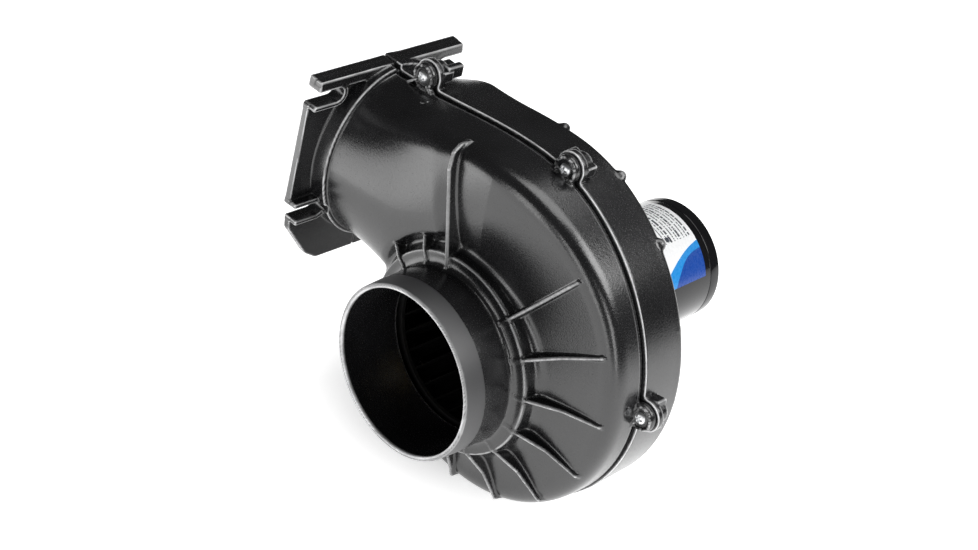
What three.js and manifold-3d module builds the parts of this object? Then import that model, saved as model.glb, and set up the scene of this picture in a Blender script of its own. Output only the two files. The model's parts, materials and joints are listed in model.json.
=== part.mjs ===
// Flange-mounted centrifugal blower: a two-piece plastic scroll housing with a hose inlet in front,
// a flanged outlet on its left, and a permanent-magnet motor on its back that turns the impeller.
//
// Millimetres, +Z up. Everything is built round the shaft: the shaft's axis is the Y axis, air comes in
// from -Y and leaves toward -X, and the housing parts at y = 0. The exported group then moves the
// origin to the middle of the outlet, on the flange's outer face.
import * as THREE from "three";
import { mergeVertices } from "three/addons/utils/BufferGeometryUtils.js";
import Module from "manifold-3d";

const wasm = await Module();
wasm.setup();

// ---- Driving dimensions ----
const WALL = 2.5; // housing wall
const FIT = 0.3; // gap between pieces that touch or nest
const RUN = 0.05; // running clearance at a bush
const BOLT_FIT = 0.15; // round a screw or bolt in its hole
const FAR = 300; // beyond everything

const SPIGOT_OUTER = 51; // radius, for a 102 mm (4 in) hose
const SPIGOT_INNER = 48;
const SPIGOT_RIM_Y = -72;
const HOSE_STOP_RADIUS = 60;
const HOSE_STOP_Y = -37;
const FACE_Y = -33; // front of the round middle, under the hose stop
const VALLEY_Y = -28.5; // front face next to the hose stop
const SHOULDER_Y = -23; // outer edge of the front face
const SHOULDER_Y_OUTLET = -36; // the same, near the outlet
const SHOULDER_WIDTH = 9; // from the shoulder out to the seam
const CORE = 40; // the scroll's sections start at this radius, inside the round middle

const SCROLL_RADIUS = 107.8; // at the right of the shaft, angle 0
const SCROLL_GROWTH = 12; // radius gained per radian
const SCROLL_EASE = (65 * Math.PI) / 180; // where the growth starts to fade out toward the top
const SCROLL_START = -Math.PI; // at the tongue, left of the shaft
const SCROLL_TOP = Math.PI / 2; // where the scroll hands over to the duct
const TONGUE = 0.035; // the cavity starts this much later, in radians, and leaves the tongue's wall
const BACK_Y = 31; // outer face of the back plate
const LIP_STEP = 1.4; // the rear half's rim stands this far proud of the front half

const FLANGE_X = -125.7; // outer face
const FLANGE_PLATE = 4.6;
const FLANGE_DEPTH = 10; // over the rims round the slots
const FLANGE_HALF_WIDTH = 54; // at the top
const FLANGE_SPREAD = 2.6; // it is wider by this much at the lower slots, on each side
const SLOT_PAST = 3; // a slot is cut this far past the flange's edge
const FLANGE_TOP = 113;
const FLANGE_BOTTOM = -16.6;
const DUCT_Z = 57; // outlet centre above the shaft
const DUCT_HALF_WIDTH = 43; // outer, at the flange
const DUCT_HALF_HEIGHT = 54;
const DUCT_FRONT = 35; // reach of the duct in front of the seam where it leaves the scroll
const DUCT_FLOOR = 50; // its lower side there, above the shaft
const DUCT_SQUARE = [4.5, 7]; // how boxy its front and rear side are there; 2 would be an oval
const FLANGE_CORNERS = [[55, 12.5], [38.5, -10.5], [29, FLANGE_BOTTOM]]; // y, z
const SLOT_WIDTH = 9;
const SLOT_DEPTH = 18.5;
const SLOT_HEIGHTS = [102, 25.6];
const SLOT_RIM = 3;
const COLLAR_STEP = 2.4; // how far the collar stands out from the duct
const COLLAR_END = 15;
const FLANGE_SPLIT = FLANGE_X + FLANGE_DEPTH; // the flange is a node of its own up to here

const RIB_PITCH = Math.PI / 8;
const RIB_START = (9.1 * Math.PI) / 180; // the rib nearest to angle 0
const RIB_THICK = 2;
const FRONT_RIBS = [-4, 2]; // first and last rib, counted from the one nearest to angle 0
const BACK_RIBS = [-8, 4];
const FIRST_KNOB = 2; // from this back rib on, a rib ends in a knob on the rim
const KNOB_RISE = 2.4;
const TALL_FIN_ANGLE = (104 * Math.PI) / 180;
const SHORT_FIN_ANGLES = [122.3, 144.7].map((deg) => (deg * Math.PI) / 180);
const RIB_RISE = 1.5; // over the hose stop
const DUCT_FIN_RISE = 3;
const SPIGOT_SPLIT = HOSE_STOP_Y - DUCT_FIN_RISE; // the spigot is a node of its own in front of here

const BOSS_RADIUS = 9.4; // rear boss; the front one is smaller by the lip step
const BOSS_FRONT = 3.5;
const BOSS_REAR = 11;
const BOSS_OFFSET = 2.6; // boss centre outside the seam
const BOSS_ANGLES = [80.7, 11.2, -84, -172].map((deg) => (deg * Math.PI) / 180);
const DUCT_BOSS = [-89.7, 119.3]; // x, z
const SCREW_RADIUS = 2; // M4
const NUT_ACROSS = 7;
const NUT_HEIGHT = 3.2;
const NUT_FLOOR = 6.5; // bottom of the nut's pocket
const SCREW_LENGTH = 14;

const WHEEL_RADIUS = 58;
const WHEEL_ROOM = 60.5; // cavity round the wheel
const BLADE_INNER = 48.5;
const BLADE_COUNT = 28;
const BLADE_LEAD = 0.14; // how far a blade's tip leads its root, in radians
const WHEEL_FRONT = -27;
const WHEEL_BACK = 20.5;
const DISC_THICK = 2.5;
const RING_THICK = 2.2;
const HUB_RADIUS = 10;
const HUB_FRONT = -2;
const HUB_SLEEVE = 9; // length of the wheel's sleeve on the hub
const SET_SCREW_Y = 4;
const SET_SCREW_RADIUS = 2;

const PEDESTAL_RADIUS = 43;
const PEDESTAL_Y = 36;
const CAN_RADIUS = 38.2;
const CAN_WALL = 2;
const MOTOR_FRONT = PEDESTAL_Y + 1.2; // gasket under it
const MOTOR_END = 155.4;
const REAR_CAP_Y = 147;
const SHAFT_RADIUS = 4;
const SHAFT_FRONT = -6;
const SHAFT_REAR = 151.5;
const SHAFT_HOLE = 10; // in the back plate
const BUSH_RADIUS = 8;
const CORE_RADIUS = 26.5;
const CORE_FRONT = 68;
const CORE_BACK = 110;
const COMMUTATOR_RADIUS = 11;
const BRUSH_Y = 133;
const BRUSH_LENGTH = 11;
const BRUSH_WIDE = 6;
const BRUSH_DEEP = 8;
const SPRING_ROOM = 5;
const BOLT_CIRCLE = 32.6;
const BOLT_RADIUS = 2;
const MOTOR_SCREW_CIRCLE = 24;
const MOTOR_SCREW_RADIUS = 2.5;
const MOTOR_SCREW_LENGTH = 15;
const GROMMET_Y = 141;
const LABEL_FRONT = 76;
const LABEL_REAR = 142;
const LABEL_ARC = [21.5, 126].map((deg) => (deg * Math.PI) / 180);

// ---- Materials ----
const finish = (color, roughness, metalness) => ({ color, roughness, metalness });
const PLASTIC = finish(0x18181a, 0.45, 0);
const IMPELLER_PLASTIC = finish(0x1d1d1f, 0.5, 0);
const STEEL = finish(0xc6c8ca, 0.25, 0.95);
const BLACK_PAINT = finish(0x0b0b0d, 0.15, 0);
const BRONZE = finish(0x9a7442, 0.45, 0.9);
const BRASS = finish(0xc4a04c, 0.35, 0.95);
const COPPER = finish(0xb4683c, 0.4, 0.9);
const LAMINATION = finish(0x77797c, 0.45, 0.9);
const FERRITE = finish(0x2e2e30, 0.75, 0);
const PHENOLIC = finish(0x5a3a22, 0.6, 0);
const CARBON = finish(0x262628, 0.6, 0.2);
const RUBBER = finish(0x141414, 0.85, 0);
const NYLON = finish(0xe8e6dc, 0.5, 0);
const LABEL = finish(0xf4f5f6, 0.4, 0);

// ---- Solids ----
function solid(geometry) {
  const bare = geometry.index ? geometry.toNonIndexed() : geometry.clone();
  bare.deleteAttribute("normal");
  bare.deleteAttribute("uv");
  const merged = mergeVertices(bare, 1e-4);
  const mesh = new wasm.Mesh({
    numProp: 3,
    vertProperties: merged.attributes.position.array,
    triVerts: new Uint32Array(merged.index.array),
  });
  return new wasm.Manifold(mesh);
}

function geometryOf(body) {
  const mesh = body.getMesh();
  const geometry = new THREE.BufferGeometry();
  geometry.setAttribute("position", new THREE.BufferAttribute(mesh.vertProperties, 3));
  geometry.setIndex(new THREE.BufferAttribute(mesh.triVerts, 1));
  geometry.computeVertexNormals();
  return geometry;
}

const join = (bodies) => bodies.reduce((sum, body) => sum.add(body));
const cut = (body, tools) => tools.reduce((rest, tool) => rest.subtract(tool), body);

// A box given by its lowest and highest corner.
function block(low, high) {
  const size = high.map((value, axis) => value - low[axis]);
  const middle = high.map((value, axis) => (value + low[axis]) / 2);
  return solid(new THREE.BoxGeometry(...size).translate(...middle));
}

// A body turned round the shaft's axis, from a closed profile of [radius, y] points.
function turned(profile, segments = 32) {
  const points = [...profile, profile[0]].map(([radius, y]) => new THREE.Vector2(radius, y));
  const body = solid(new THREE.LatheGeometry(points, segments));
  return body.volume() > 0 ? body : solid(new THREE.LatheGeometry(points.reverse(), segments));
}

const ring = (inner, outer, from, to, segments) =>
  turned([[inner, from], [outer, from], [outer, to], [inner, to]], segments);

// A rod along the shaft's direction, centred at x, z.
function rod(radius, from, to, x = 0, z = 0, segments = 24) {
  const geometry = new THREE.CylinderGeometry(radius, radius, to - from, segments);
  return solid(geometry.translate(x, (from + to) / 2, z));
}

// A rod along Z, for pieces that point up or down from the shaft.
function upright(radius, from, to, x, y, segments = 20) {
  const geometry = new THREE.CylinderGeometry(radius, radius, to - from, segments).rotateX(Math.PI / 2);
  return solid(geometry.translate(x, y, (from + to) / 2));
}

// An outline in the X-Z plane, extruded from one y to another.
function plateAlongY(outline, from, to) {
  const shape = new THREE.Shape(outline.map(([x, z]) => new THREE.Vector2(x, z)));
  const geometry = new THREE.ExtrudeGeometry(shape, { depth: to - from, bevelEnabled: false });
  return solid(geometry.rotateX(Math.PI / 2).translate(0, to, 0));
}

// An outline of [y, z] points, extruded from one x to another.
function plateAlongX(outline, from, to) {
  const shape = new THREE.Shape(outline.map(([y, z]) => new THREE.Vector2(y, z)));
  const geometry = new THREE.ExtrudeGeometry(shape, { depth: to - from, bevelEnabled: false });
  const stand = new THREE.Matrix4().makeBasis(
    new THREE.Vector3(0, 1, 0),
    new THREE.Vector3(0, 0, 1),
    new THREE.Vector3(1, 0, 0),
  );
  return solid(geometry.applyMatrix4(stand).translate(from, 0, 0));
}

// A closed skin over a row of rings that all have the same number of [x, y, z] points.
function loft(rings) {
  const count = rings[0].length;
  const points = rings.flat();
  const faces = [];
  const next = (i) => (i + 1) % count;
  for (let row = 0; row + 1 < rings.length; row++) {
    for (let i = 0; i < count; i++) {
      const a = row * count + i;
      const b = row * count + next(i);
      faces.push(a, b, a + count, b, b + count, a + count);
    }
  }
  const capEnds = [[0, false], [rings.length - 1, true]];
  for (const [row, flip] of capEnds) {
    const flat = capTriangles(rings[row]);
    for (const [p, q, r] of flat) {
      const corner = [p, q, r].map((i) => row * count + i);
      faces.push(...(flip ? corner : corner.reverse()));
    }
  }
  const geometry = new THREE.BufferGeometry();
  geometry.setAttribute("position", new THREE.Float32BufferAttribute(points.flat(), 3));
  geometry.setIndex(faces);
  const body = solid(geometry);
  return body.volume() > 0 ? body : solid(turnedInsideOut(geometry));
}

function turnedInsideOut(geometry) {
  const index = [...geometry.index.array];
  for (let i = 0; i < index.length; i += 3) {
    [index[i], index[i + 1]] = [index[i + 1], index[i]];
  }
  return geometry.setIndex(index);
}

// Triangles of a flat ring of points, found in the plane that it lies in.
function capTriangles(points) {
  const corner = points.map((p) => new THREE.Vector3(...p));
  const normal = new THREE.Vector3();
  corner.forEach((p, i) => normal.add(p.clone().cross(corner[(i + 1) % corner.length])));
  normal.normalize();
  const seed = Math.abs(normal.y) < 0.9 ? new THREE.Vector3(0, 1, 0) : new THREE.Vector3(1, 0, 0);
  const across = seed.clone().cross(normal).normalize();
  const up = normal.clone().cross(across);
  const flat = corner.map((p) => new THREE.Vector2(p.dot(across), p.dot(up)));
  return THREE.ShapeUtils.triangulateShape(flat, []);
}

// ---- Scroll and duct shape ----
const smooth = (t) => THREE.MathUtils.smoothstep(t, 0, 1);
const mix = THREE.MathUtils.lerp;

function seamRadius(angle) {
  const eased = Math.max(0, angle - SCROLL_EASE);
  const fade = (eased * eased) / (2 * (SCROLL_TOP - SCROLL_EASE));
  return SCROLL_RADIUS + SCROLL_GROWTH * (angle - fade);
}

// How near an angle is to the outlet, 0 to 1: the scroll gets deeper there.
const towardOutlet = (angle) => smooth((angle - 0.6) / 1.15);

// The front shoulder comes forward toward the outlet. At the narrow start of the scroll there is no room
// for a slope, so it is level with the round middle.
function shoulderY(angle) {
  const room = seamRadius(angle) - HOSE_STOP_RADIUS - SHOULDER_WIDTH;
  return mix(FACE_Y, mix(SHOULDER_Y, SHOULDER_Y_OUTLET, towardOutlet(angle)), smooth(room / 23));
}

// Front surface at t = 0 (hose stop) to 1 (shoulder): a hollow cone.
const hollow = (t) => 1 - (1 - t) ** 2.2;

// One section of the scroll at an angle, inset by the wall when it is the cavity: [radius, y] points.
function scrollSection(angle, inset) {
  const rim = seamRadius(angle) - inset;
  const top = shoulderY(angle) + inset;
  const face = VALLEY_Y + inset;
  const shoulder = Math.max(rim - SHOULDER_WIDTH, HOSE_STOP_RADIUS + 1);
  const front = [[CORE, face]];
  for (let i = 0; i <= 4; i++) {
    const t = i / 4;
    front.push([mix(HOSE_STOP_RADIUS - 1, shoulder, t), mix(face, top, hollow(t))]);
  }
  const edge = rim - (inset ? 0 : LIP_STEP);
  front.push([edge - 4.2, top + 1.6], [edge - 1.8, top + 5.2], [edge - 0.7, top + 11], [edge, 0]);
  const lip = inset ? [] : [[rim, 0]];
  const back = BACK_Y - inset;
  const rear = [[rim - 0.4, back - 2.2], [rim - 1.2, back - 0.6], [rim - 2.6, back], [CORE, back]];
  return [...front, ...lip, ...rear];
}

function scroll(inset) {
  const steps = 34;
  const rings = [];
  for (let i = 0; i <= steps; i++) {
    const angle = mix(SCROLL_START + (inset ? TONGUE : 0), SCROLL_TOP, i / steps);
    const section = scrollSection(angle, inset);
    rings.push(section.map(([r, y]) => [r * Math.cos(angle), y, r * Math.sin(angle)]));
  }
  return loft(rings);
}

// The duct's outer section at x, from the end of the scroll (out = 0) to the flange (out = 1). It turns
// from a rounded box, high above the wheel, into the outlet's oval: early in front, late behind. The
// stretch with x above 0 tapers away inside the scroll.
function ductSize(x) {
  const out = Math.max(0, x / FLANGE_X);
  const inside = Math.max(0, x);
  const top = mix(seamRadius(SCROLL_TOP), DUCT_Z + DUCT_HALF_HEIGHT, smooth(out)) - 0.25 * inside;
  const floor = mix(DUCT_FLOOR, DUCT_Z - DUCT_HALF_HEIGHT, smooth(Math.min(1, out * 1.9)));
  const front = mix(DUCT_FRONT, DUCT_HALF_WIDTH, out) - 0.8 * inside;
  const rear = mix(BACK_Y - 0.4, DUCT_HALF_WIDTH, out) - 0.4 * inside;
  const square = [mix(DUCT_SQUARE[0], 2, out ** 0.7), mix(DUCT_SQUARE[1], 2, smooth((out - 0.2) / 0.8))];
  return { top, floor, front, rear, square };
}

function ductSection(x, inset, points = 26) {
  const { top, floor, front, rear, square } = ductSize(x);
  const middle = (top + floor) / 2;
  const half = (top - floor) / 2 - inset;
  const section = [];
  for (let i = 0; i < points; i++) {
    const turn = ((i + 0.5) / points) * 2 * Math.PI;
    const [reach, power] = Math.cos(turn) < 0 ? [front, square[0]] : [rear, square[1]];
    const curve = (value) => Math.sign(value) * Math.abs(value) ** (2 / power);
    section.push([x, (reach - inset) * curve(Math.cos(turn)), middle + half * curve(Math.sin(turn))]);
  }
  return section;
}

function duct(inset, end) {
  const stations = [18, 0, -16, -32, -48, -66, -86, -106, end];
  return loft(stations.map((x) => ductSection(x, inset)));
}

// The raised collar where the duct meets the flange.
function collar() {
  const rings = [[1, COLLAR_STEP], [COLLAR_END - 3, COLLAR_STEP], [COLLAR_END, 0.4]];
  return loft(rings.map(([out, grow]) => ductSection(FLANGE_X + out, -grow)));
}

// ---- Flange ----
function flangeEdge(height) {
  const down = (SLOT_HEIGHTS[0] - height) / (SLOT_HEIGHTS[0] - SLOT_HEIGHTS[1]);
  return FLANGE_HALF_WIDTH + FLANGE_SPREAD * THREE.MathUtils.clamp(down, 0, 1);
}

const flangeOutline = (side) => [
  [0, FLANGE_TOP],
  [side * FLANGE_HALF_WIDTH, FLANGE_TOP],
  ...SLOT_HEIGHTS.map((height) => [side * flangeEdge(height), height]),
  ...FLANGE_CORNERS.map(([y, z]) => [side * y, z]),
  [0, FLANGE_BOTTOM],
];

// A slot open at the flange's edge, with a round inner end; grow widens it for its rim.
function slot(side, height, grow, from, to) {
  const end = side * (FLANGE_HALF_WIDTH - SLOT_DEPTH + SLOT_WIDTH / 2);
  const half = SLOT_WIDTH / 2 + grow;
  const edge = side * (flangeEdge(height) + (grow ? 0 : SLOT_PAST));
  const outline = [[edge, height - half]];
  const arc = 6;
  for (let i = 0; i <= arc; i++) {
    const turn = (Math.PI * i) / arc - Math.PI / 2;
    outline.push([end - side * half * Math.cos(turn), height + half * Math.sin(turn)]);
  }
  outline.push([edge, height + half]);
  return plateAlongX(outline, from, to);
}

function flange() {
  const back = FLANGE_X + FLANGE_PLATE;
  const deep = FLANGE_X + FLANGE_DEPTH;
  const outline = [...flangeOutline(1), ...flangeOutline(-1).reverse().slice(1, -1)];
  const plate = plateAlongX(outline, FLANGE_X, back);
  const barLow = SLOT_HEIGHTS[0] + SLOT_WIDTH / 2;
  const bar = block([FLANGE_X, -FLANGE_HALF_WIDTH, barLow], [deep, FLANGE_HALF_WIDTH, FLANGE_TOP]);
  const rims = [-1, 1].flatMap((side) => SLOT_HEIGHTS.map((z) => slot(side, z, SLOT_RIM, FLANGE_X, deep)));
  return join([plate, bar, ...rims]);
}

function flangeSlots() {
  return [-1, 1].flatMap((side) =>
    SLOT_HEIGHTS.map((z) => slot(side, z, 0, FLANGE_X - 1, FLANGE_X + COLLAR_END)));
}

// ---- Ribs and bosses ----
// A thin plate that stands in a half plane through the shaft's axis, from [radius, y] points.
function fin(outline, angle, thick = RIB_THICK) {
  const shape = new THREE.Shape(outline.map(([r, y]) => new THREE.Vector2(r, y)));
  const geometry = new THREE.ExtrudeGeometry(shape, { depth: thick, bevelEnabled: false });
  return solid(geometry.translate(0, 0, -thick / 2).rotateY(-angle));
}

// The gusset fins on the front face, between the spigot and the shoulder.
function frontRibs() {
  const ribs = [];
  for (let k = FRONT_RIBS[0]; k <= FRONT_RIBS[1]; k++) {
    const angle = RIB_START + k * RIB_PITCH;
    const end = seamRadius(angle) - 6;
    const top = shoulderY(angle);
    const mid = mix(HOSE_STOP_RADIUS, end, 0.45);
    const base = HOSE_STOP_Y - RIB_RISE;
    ribs.push(fin([
      [SPIGOT_INNER + 1, HOSE_STOP_Y + 2],
      [SPIGOT_INNER + 1, base],
      [HOSE_STOP_RADIUS, base + 1],
      [mid, mix(base + 1, top, 0.8) - 0.9],
      [end - 6, top - 1],
      [end, top + 0.4],
      [end - 2, top + 4],
      [HOSE_STOP_RADIUS - 2, HOSE_STOP_Y + 4],
    ], angle));
  }
  return ribs;
}

// Three fins tie the spigot to the bulge of the duct: one long, two short.
function ductFins() {
  const crest = HOSE_STOP_Y - DUCT_FIN_RISE;
  const root = SPIGOT_INNER + 1;
  const tall = fin([[root, -32], [root, crest], [110, crest], [119, crest + 3], [123, crest + 9], [118, -24]],
    TALL_FIN_ANGLE, 2.4);
  const short = SHORT_FIN_ANGLES.map((angle) =>
    fin([[root, -32], [root, crest + 1], [60, crest + 1], [69, crest + 4], [72, -24]], angle));
  return [tall, ...short];
}

// Radial ribs on the back plate, from the motor pedestal to the rim. The upper ones end in knobs.
function backRibs() {
  const ribs = [];
  for (let k = BACK_RIBS[0]; k <= BACK_RIBS[1]; k++) {
    const angle = RIB_START + k * RIB_PITCH;
    const end = seamRadius(Math.min(angle, SCROLL_TOP)) - 1.5;
    const knob = k >= FIRST_KNOB ? KNOB_RISE : -0.6;
    ribs.push(fin([
      [PEDESTAL_RADIUS - 2, BACK_Y - 1],
      [end, BACK_Y - 2],
      [end, BACK_Y + knob],
      [end - 6, BACK_Y + knob + 0.6],
      [PEDESTAL_RADIUS - 2, PEDESTAL_Y - 2],
    ], angle));
  }
  return ribs;
}

const bossPlaces = () => [DUCT_BOSS, ...BOSS_ANGLES.map((angle) => {
  const reach = seamRadius(angle) + BOSS_OFFSET;
  return [reach * Math.cos(angle), reach * Math.sin(angle)];
})];

// ---- Housing ----
// The round middle of the housing, which holds the wheel where the scroll and the duct don't.
function drum(radius, inset) {
  const front = FACE_Y + inset;
  const back = BACK_Y - inset;
  return turned([[0, front], [HOSE_STOP_RADIUS - 1 - inset, front], [radius, front + 4.5], [radius, back],
    [0, back]], 40);
}

function innerSpace() {
  const core = drum(WHEEL_ROOM, WALL);
  const bore = rod(SPIGOT_INNER, SPIGOT_RIM_Y - 1, FACE_Y + WALL + 1, 0, 0, 44);
  return [scroll(WALL), core, duct(WALL, FLANGE_X - 1), bore];
}

function outerShape() {
  const core = drum(WHEEL_ROOM + WALL, 0);
  const under = FACE_Y + WALL;
  const stop = turned([[CORE, HOSE_STOP_Y], [HOSE_STOP_RADIUS - 0.8, HOSE_STOP_Y],
    [HOSE_STOP_RADIUS, HOSE_STOP_Y + 0.9], [HOSE_STOP_RADIUS, under], [CORE, under]], 44);
  const spigot = turned([[SPIGOT_INNER - 3, under], [SPIGOT_INNER - 3, SPIGOT_RIM_Y],
    [SPIGOT_OUTER - 0.8, SPIGOT_RIM_Y], [SPIGOT_OUTER, SPIGOT_RIM_Y + 0.8], [SPIGOT_OUTER, under]], 44);
  return join([scroll(0), core, stop, spigot, duct(0, FLANGE_X), collar(), flange()]);
}

const leftOf = (x) => block([-FAR, -FAR, -FAR], [x, FAR, FAR]);
const inFrontOf = (y) => block([-FAR, -FAR, -FAR], [FAR, y, FAR]);
const behind = (y) => block([-FAR, y, -FAR], [FAR, FAR, FAR]);

// The room in front of y, to the right of the duct, where only the spigot stands.
const spigotRoom = (y) => block([-SPIGOT_OUTER - 1, -FAR, -FAR], [FAR, y, FAR]);

function frontHalf() {
  const lobes = bossPlaces().map(([x, z]) => rod(BOSS_RADIUS - LIP_STEP, -BOSS_FRONT, 0, x, z, 20));
  const shell = cut(join([outerShape(), ...frontRibs(), ...ductFins(), ...lobes]), innerSpace());
  const holes = bossPlaces().map(([x, z]) => rod(SCREW_RADIUS + FIT, -12, 2, x, z, 12));
  return cut(shell, [...flangeSlots(), ...holes, behind(0)]);
}

function rearHalf() {
  const lobes = bossPlaces().map(([x, z]) => rod(BOSS_RADIUS, 0, BOSS_REAR, x, z, 20));
  const pedestal = ring(0, PEDESTAL_RADIUS, BACK_Y - 1, PEDESTAL_Y, 40);
  const shell = cut(join([outerShape(), ...backRibs(), pedestal, ...lobes]), innerSpace());
  const holes = bossPlaces().map(([x, z]) => rod(SCREW_RADIUS + FIT, -2, 20, x, z, 12));
  const pocket = NUT_ACROSS / Math.sqrt(3) + FIT;
  const pockets = bossPlaces().map(([x, z]) => rod(pocket, NUT_FLOOR, 20, x, z, 6));
  const shaftHole = rod(SHAFT_HOLE, 20, 40, 0, 0, 32);
  const screwHoles = motorScrewPlaces().map(([x, z]) => rod(MOTOR_SCREW_RADIUS + FIT, 20, 40, x, z, 12));
  return cut(shell, [...flangeSlots(), ...holes, ...pockets, shaftHole, ...screwHoles, inFrontOf(0)]);
}

// Each half is moulded in one, but it is made of simple nodes a small gap apart: the flange's half and,
// in front, the spigot are split from the rest.
const flangeOf = (half) => half.intersect(leftOf(FLANGE_SPLIT));
const shellOf = (half) => cut(half, [leftOf(FLANGE_SPLIT + FIT), spigotRoom(SPIGOT_SPLIT)]);
const spigotOf = (half) => half.intersect(spigotRoom(SPIGOT_SPLIT - FIT));

// ---- Fasteners ----
function crossRecess(from, to, x, z) {
  const bar = (wide, high) => block([x - wide, from, z - high], [x + wide, to, z + high]);
  return [bar(2.2, 0.5), bar(0.5, 2.2)];
}

// A pan-head screw that points toward +Y, with the underside of its head at y.
function panScrew(y, length, x, z, radius = SCREW_RADIUS) {
  const head = radius * 2;
  const top = y - 0.6 * head;
  const dome = [[0, top], [head * 0.7, y - 0.5 * head], [head, y - 0.2 * head], [head, y]];
  const shank = [[radius, y], [radius, y + length], [0, y + length]];
  const body = turned([...dome, ...shank], 12).translate(x, 0, z);
  return cut(body, crossRecess(top - 1, top + 1.4, x, z));
}

function hexNut(y, x, z) {
  const body = rod(NUT_ACROSS / Math.sqrt(3), y, y + NUT_HEIGHT, x, z, 6);
  return body.subtract(rod(SCREW_RADIUS + BOLT_FIT, y - 1, y + NUT_HEIGHT + 1, x, z, 12));
}

// ---- Impeller ----
// A forward-curved blade: a thin strip along an arc between the inner and the outer radius.
function blade(turn) {
  const steps = 3;
  const half = 0.6;
  const side = (offset) => Array.from({ length: steps + 1 }, (_, i) => {
    const t = i / steps;
    const reach = mix(BLADE_INNER, WHEEL_RADIUS - 0.4, t);
    const sweep = turn + BLADE_LEAD * t * t + offset / reach;
    return [reach * Math.cos(sweep), reach * Math.sin(sweep)];
  });
  return plateAlongY([...side(-half), ...side(half).reverse()], WHEEL_FRONT + 1, WHEEL_BACK - 1);
}

function impellerWheel() {
  const bore = HUB_RADIUS + FIT;
  const disc = ring(bore, WHEEL_RADIUS, WHEEL_BACK - DISC_THICK, WHEEL_BACK, 40);
  const front = ring(BLADE_INNER - 1, WHEEL_RADIUS, WHEEL_FRONT, WHEEL_FRONT + RING_THICK, 40);
  const sleeve = ring(bore, HUB_RADIUS + 4, WHEEL_BACK - HUB_SLEEVE, WHEEL_BACK, 24);
  const blades = Array.from({ length: BLADE_COUNT }, (_, i) => blade((i / BLADE_COUNT) * 2 * Math.PI));
  return join([disc, front, sleeve, ...blades]);
}

function impellerHub() {
  const bore = SHAFT_RADIUS + RUN;
  const end = WHEEL_BACK + 1;
  const body = turned([[bore, HUB_FRONT], [HUB_RADIUS - 1, HUB_FRONT], [HUB_RADIUS, HUB_FRONT + 1],
    [HUB_RADIUS, end], [bore, end]], 24);
  return body.subtract(upright(SET_SCREW_RADIUS + RUN, 0, 2 * HUB_RADIUS, 0, SET_SCREW_Y, 16));
}

function hubSetScrew() {
  const end = HUB_RADIUS - 0.4;
  const socket = upright(SET_SCREW_RADIUS / 2, end - 2, end + 1, 0, SET_SCREW_Y, 6);
  return upright(SET_SCREW_RADIUS, SHAFT_RADIUS + FIT, end, 0, SET_SCREW_Y, 16).subtract(socket);
}

// ---- Motor ----
function motorShaft() {
  const edge = 0.6;
  return turned([[0, SHAFT_FRONT], [SHAFT_RADIUS - edge, SHAFT_FRONT], [SHAFT_RADIUS, SHAFT_FRONT + edge],
    [SHAFT_RADIUS, SHAFT_REAR - edge], [SHAFT_RADIUS - edge, SHAFT_REAR], [0, SHAFT_REAR]], 24);
}

function motorScrewPlaces() {
  return [0, 1, 2].map((i) => {
    const turn = (i * 2 * Math.PI) / 3 + Math.PI / 6;
    return [MOTOR_SCREW_CIRCLE * Math.cos(turn), MOTOR_SCREW_CIRCLE * Math.sin(turn)];
  });
}

const boltPlaces = [[0, BOLT_CIRCLE], [0, -BOLT_CIRCLE]];

function motorGasket() {
  const holes = motorScrewPlaces().map(([x, z]) => rod(MOTOR_SCREW_RADIUS + FIT, 30, 40, x, z, 12));
  return cut(ring(14, CAN_RADIUS - 0.5, PEDESTAL_Y, MOTOR_FRONT, 28), holes);
}

function motorFrontCap() {
  const y = MOTOR_FRONT;
  const bore = BUSH_RADIUS + RUN;
  const inside = CAN_RADIUS - CAN_WALL - FIT;
  const boss = 13;
  const body = turned([[bore, y], [CAN_RADIUS, y], [CAN_RADIUS, y + 4], [inside, y + 4],
    [inside, y + 7], [boss, y + 7], [boss, y + 16], [bore, y + 16]], 32);
  const hole = MOTOR_SCREW_RADIUS + BOLT_FIT;
  const screws = motorScrewPlaces().map(([x, z]) => rod(hole, y - 1, y + 9, x, z, 12));
  const bolts = boltPlaces.map(([x, z]) => rod(BOLT_RADIUS + BOLT_FIT, y - 1, y + 9, x, z, 12));
  return cut(body, [...screws, ...bolts]);
}

function motorCan() {
  const grommetHole = upright(4, -50, -30, 0, GROMMET_Y, 20);
  return ring(CAN_RADIUS - CAN_WALL, CAN_RADIUS, MOTOR_FRONT + 4, REAR_CAP_Y, 48).subtract(grommetHole);
}

function motorRearCap() {
  const y = REAR_CAP_Y;
  const bore = BUSH_RADIUS + RUN;
  const boss = 12;
  const inside = CAN_RADIUS - CAN_WALL - FIT;
  const floor = MOTOR_END - 2.6;
  const body = turned([[0, MOTOR_END], [0, floor], [bore, floor], [bore, y - 5], [boss, y - 5],
    [boss, y - 1], [inside, y - 1], [inside, y], [CAN_RADIUS, y],
    [CAN_RADIUS, MOTOR_END - 2], [CAN_RADIUS - 2, MOTOR_END]], 32);
  const bolts = boltPlaces.map(([x, z]) => rod(BOLT_RADIUS + BOLT_FIT, y - 2, MOTOR_END + 1, x, z, 12));
  const sink = 2 * BOLT_RADIUS + FIT;
  const heads = boltPlaces.map(([x, z]) => rod(sink, MOTOR_END - 3, MOTOR_END + 1, x, z, 20));
  return cut(body, [...bolts, ...heads]);
}

// A long bolt from the rear cap to the front cap, its head toward +Y.
function throughBolt([x, z]) {
  const tip = MOTOR_FRONT + 0.5;
  const head = MOTOR_END - 3;
  const top = head + 2.4;
  const wide = 2 * BOLT_RADIUS;
  const body = turned([[0, tip], [BOLT_RADIUS, tip], [BOLT_RADIUS, head], [wide, head],
    [wide - 0.4, top - 0.2], [0, top]], 14).translate(x, 0, z);
  return cut(body, crossRecess(top - 1, top + 1, x, z));
}

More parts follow.
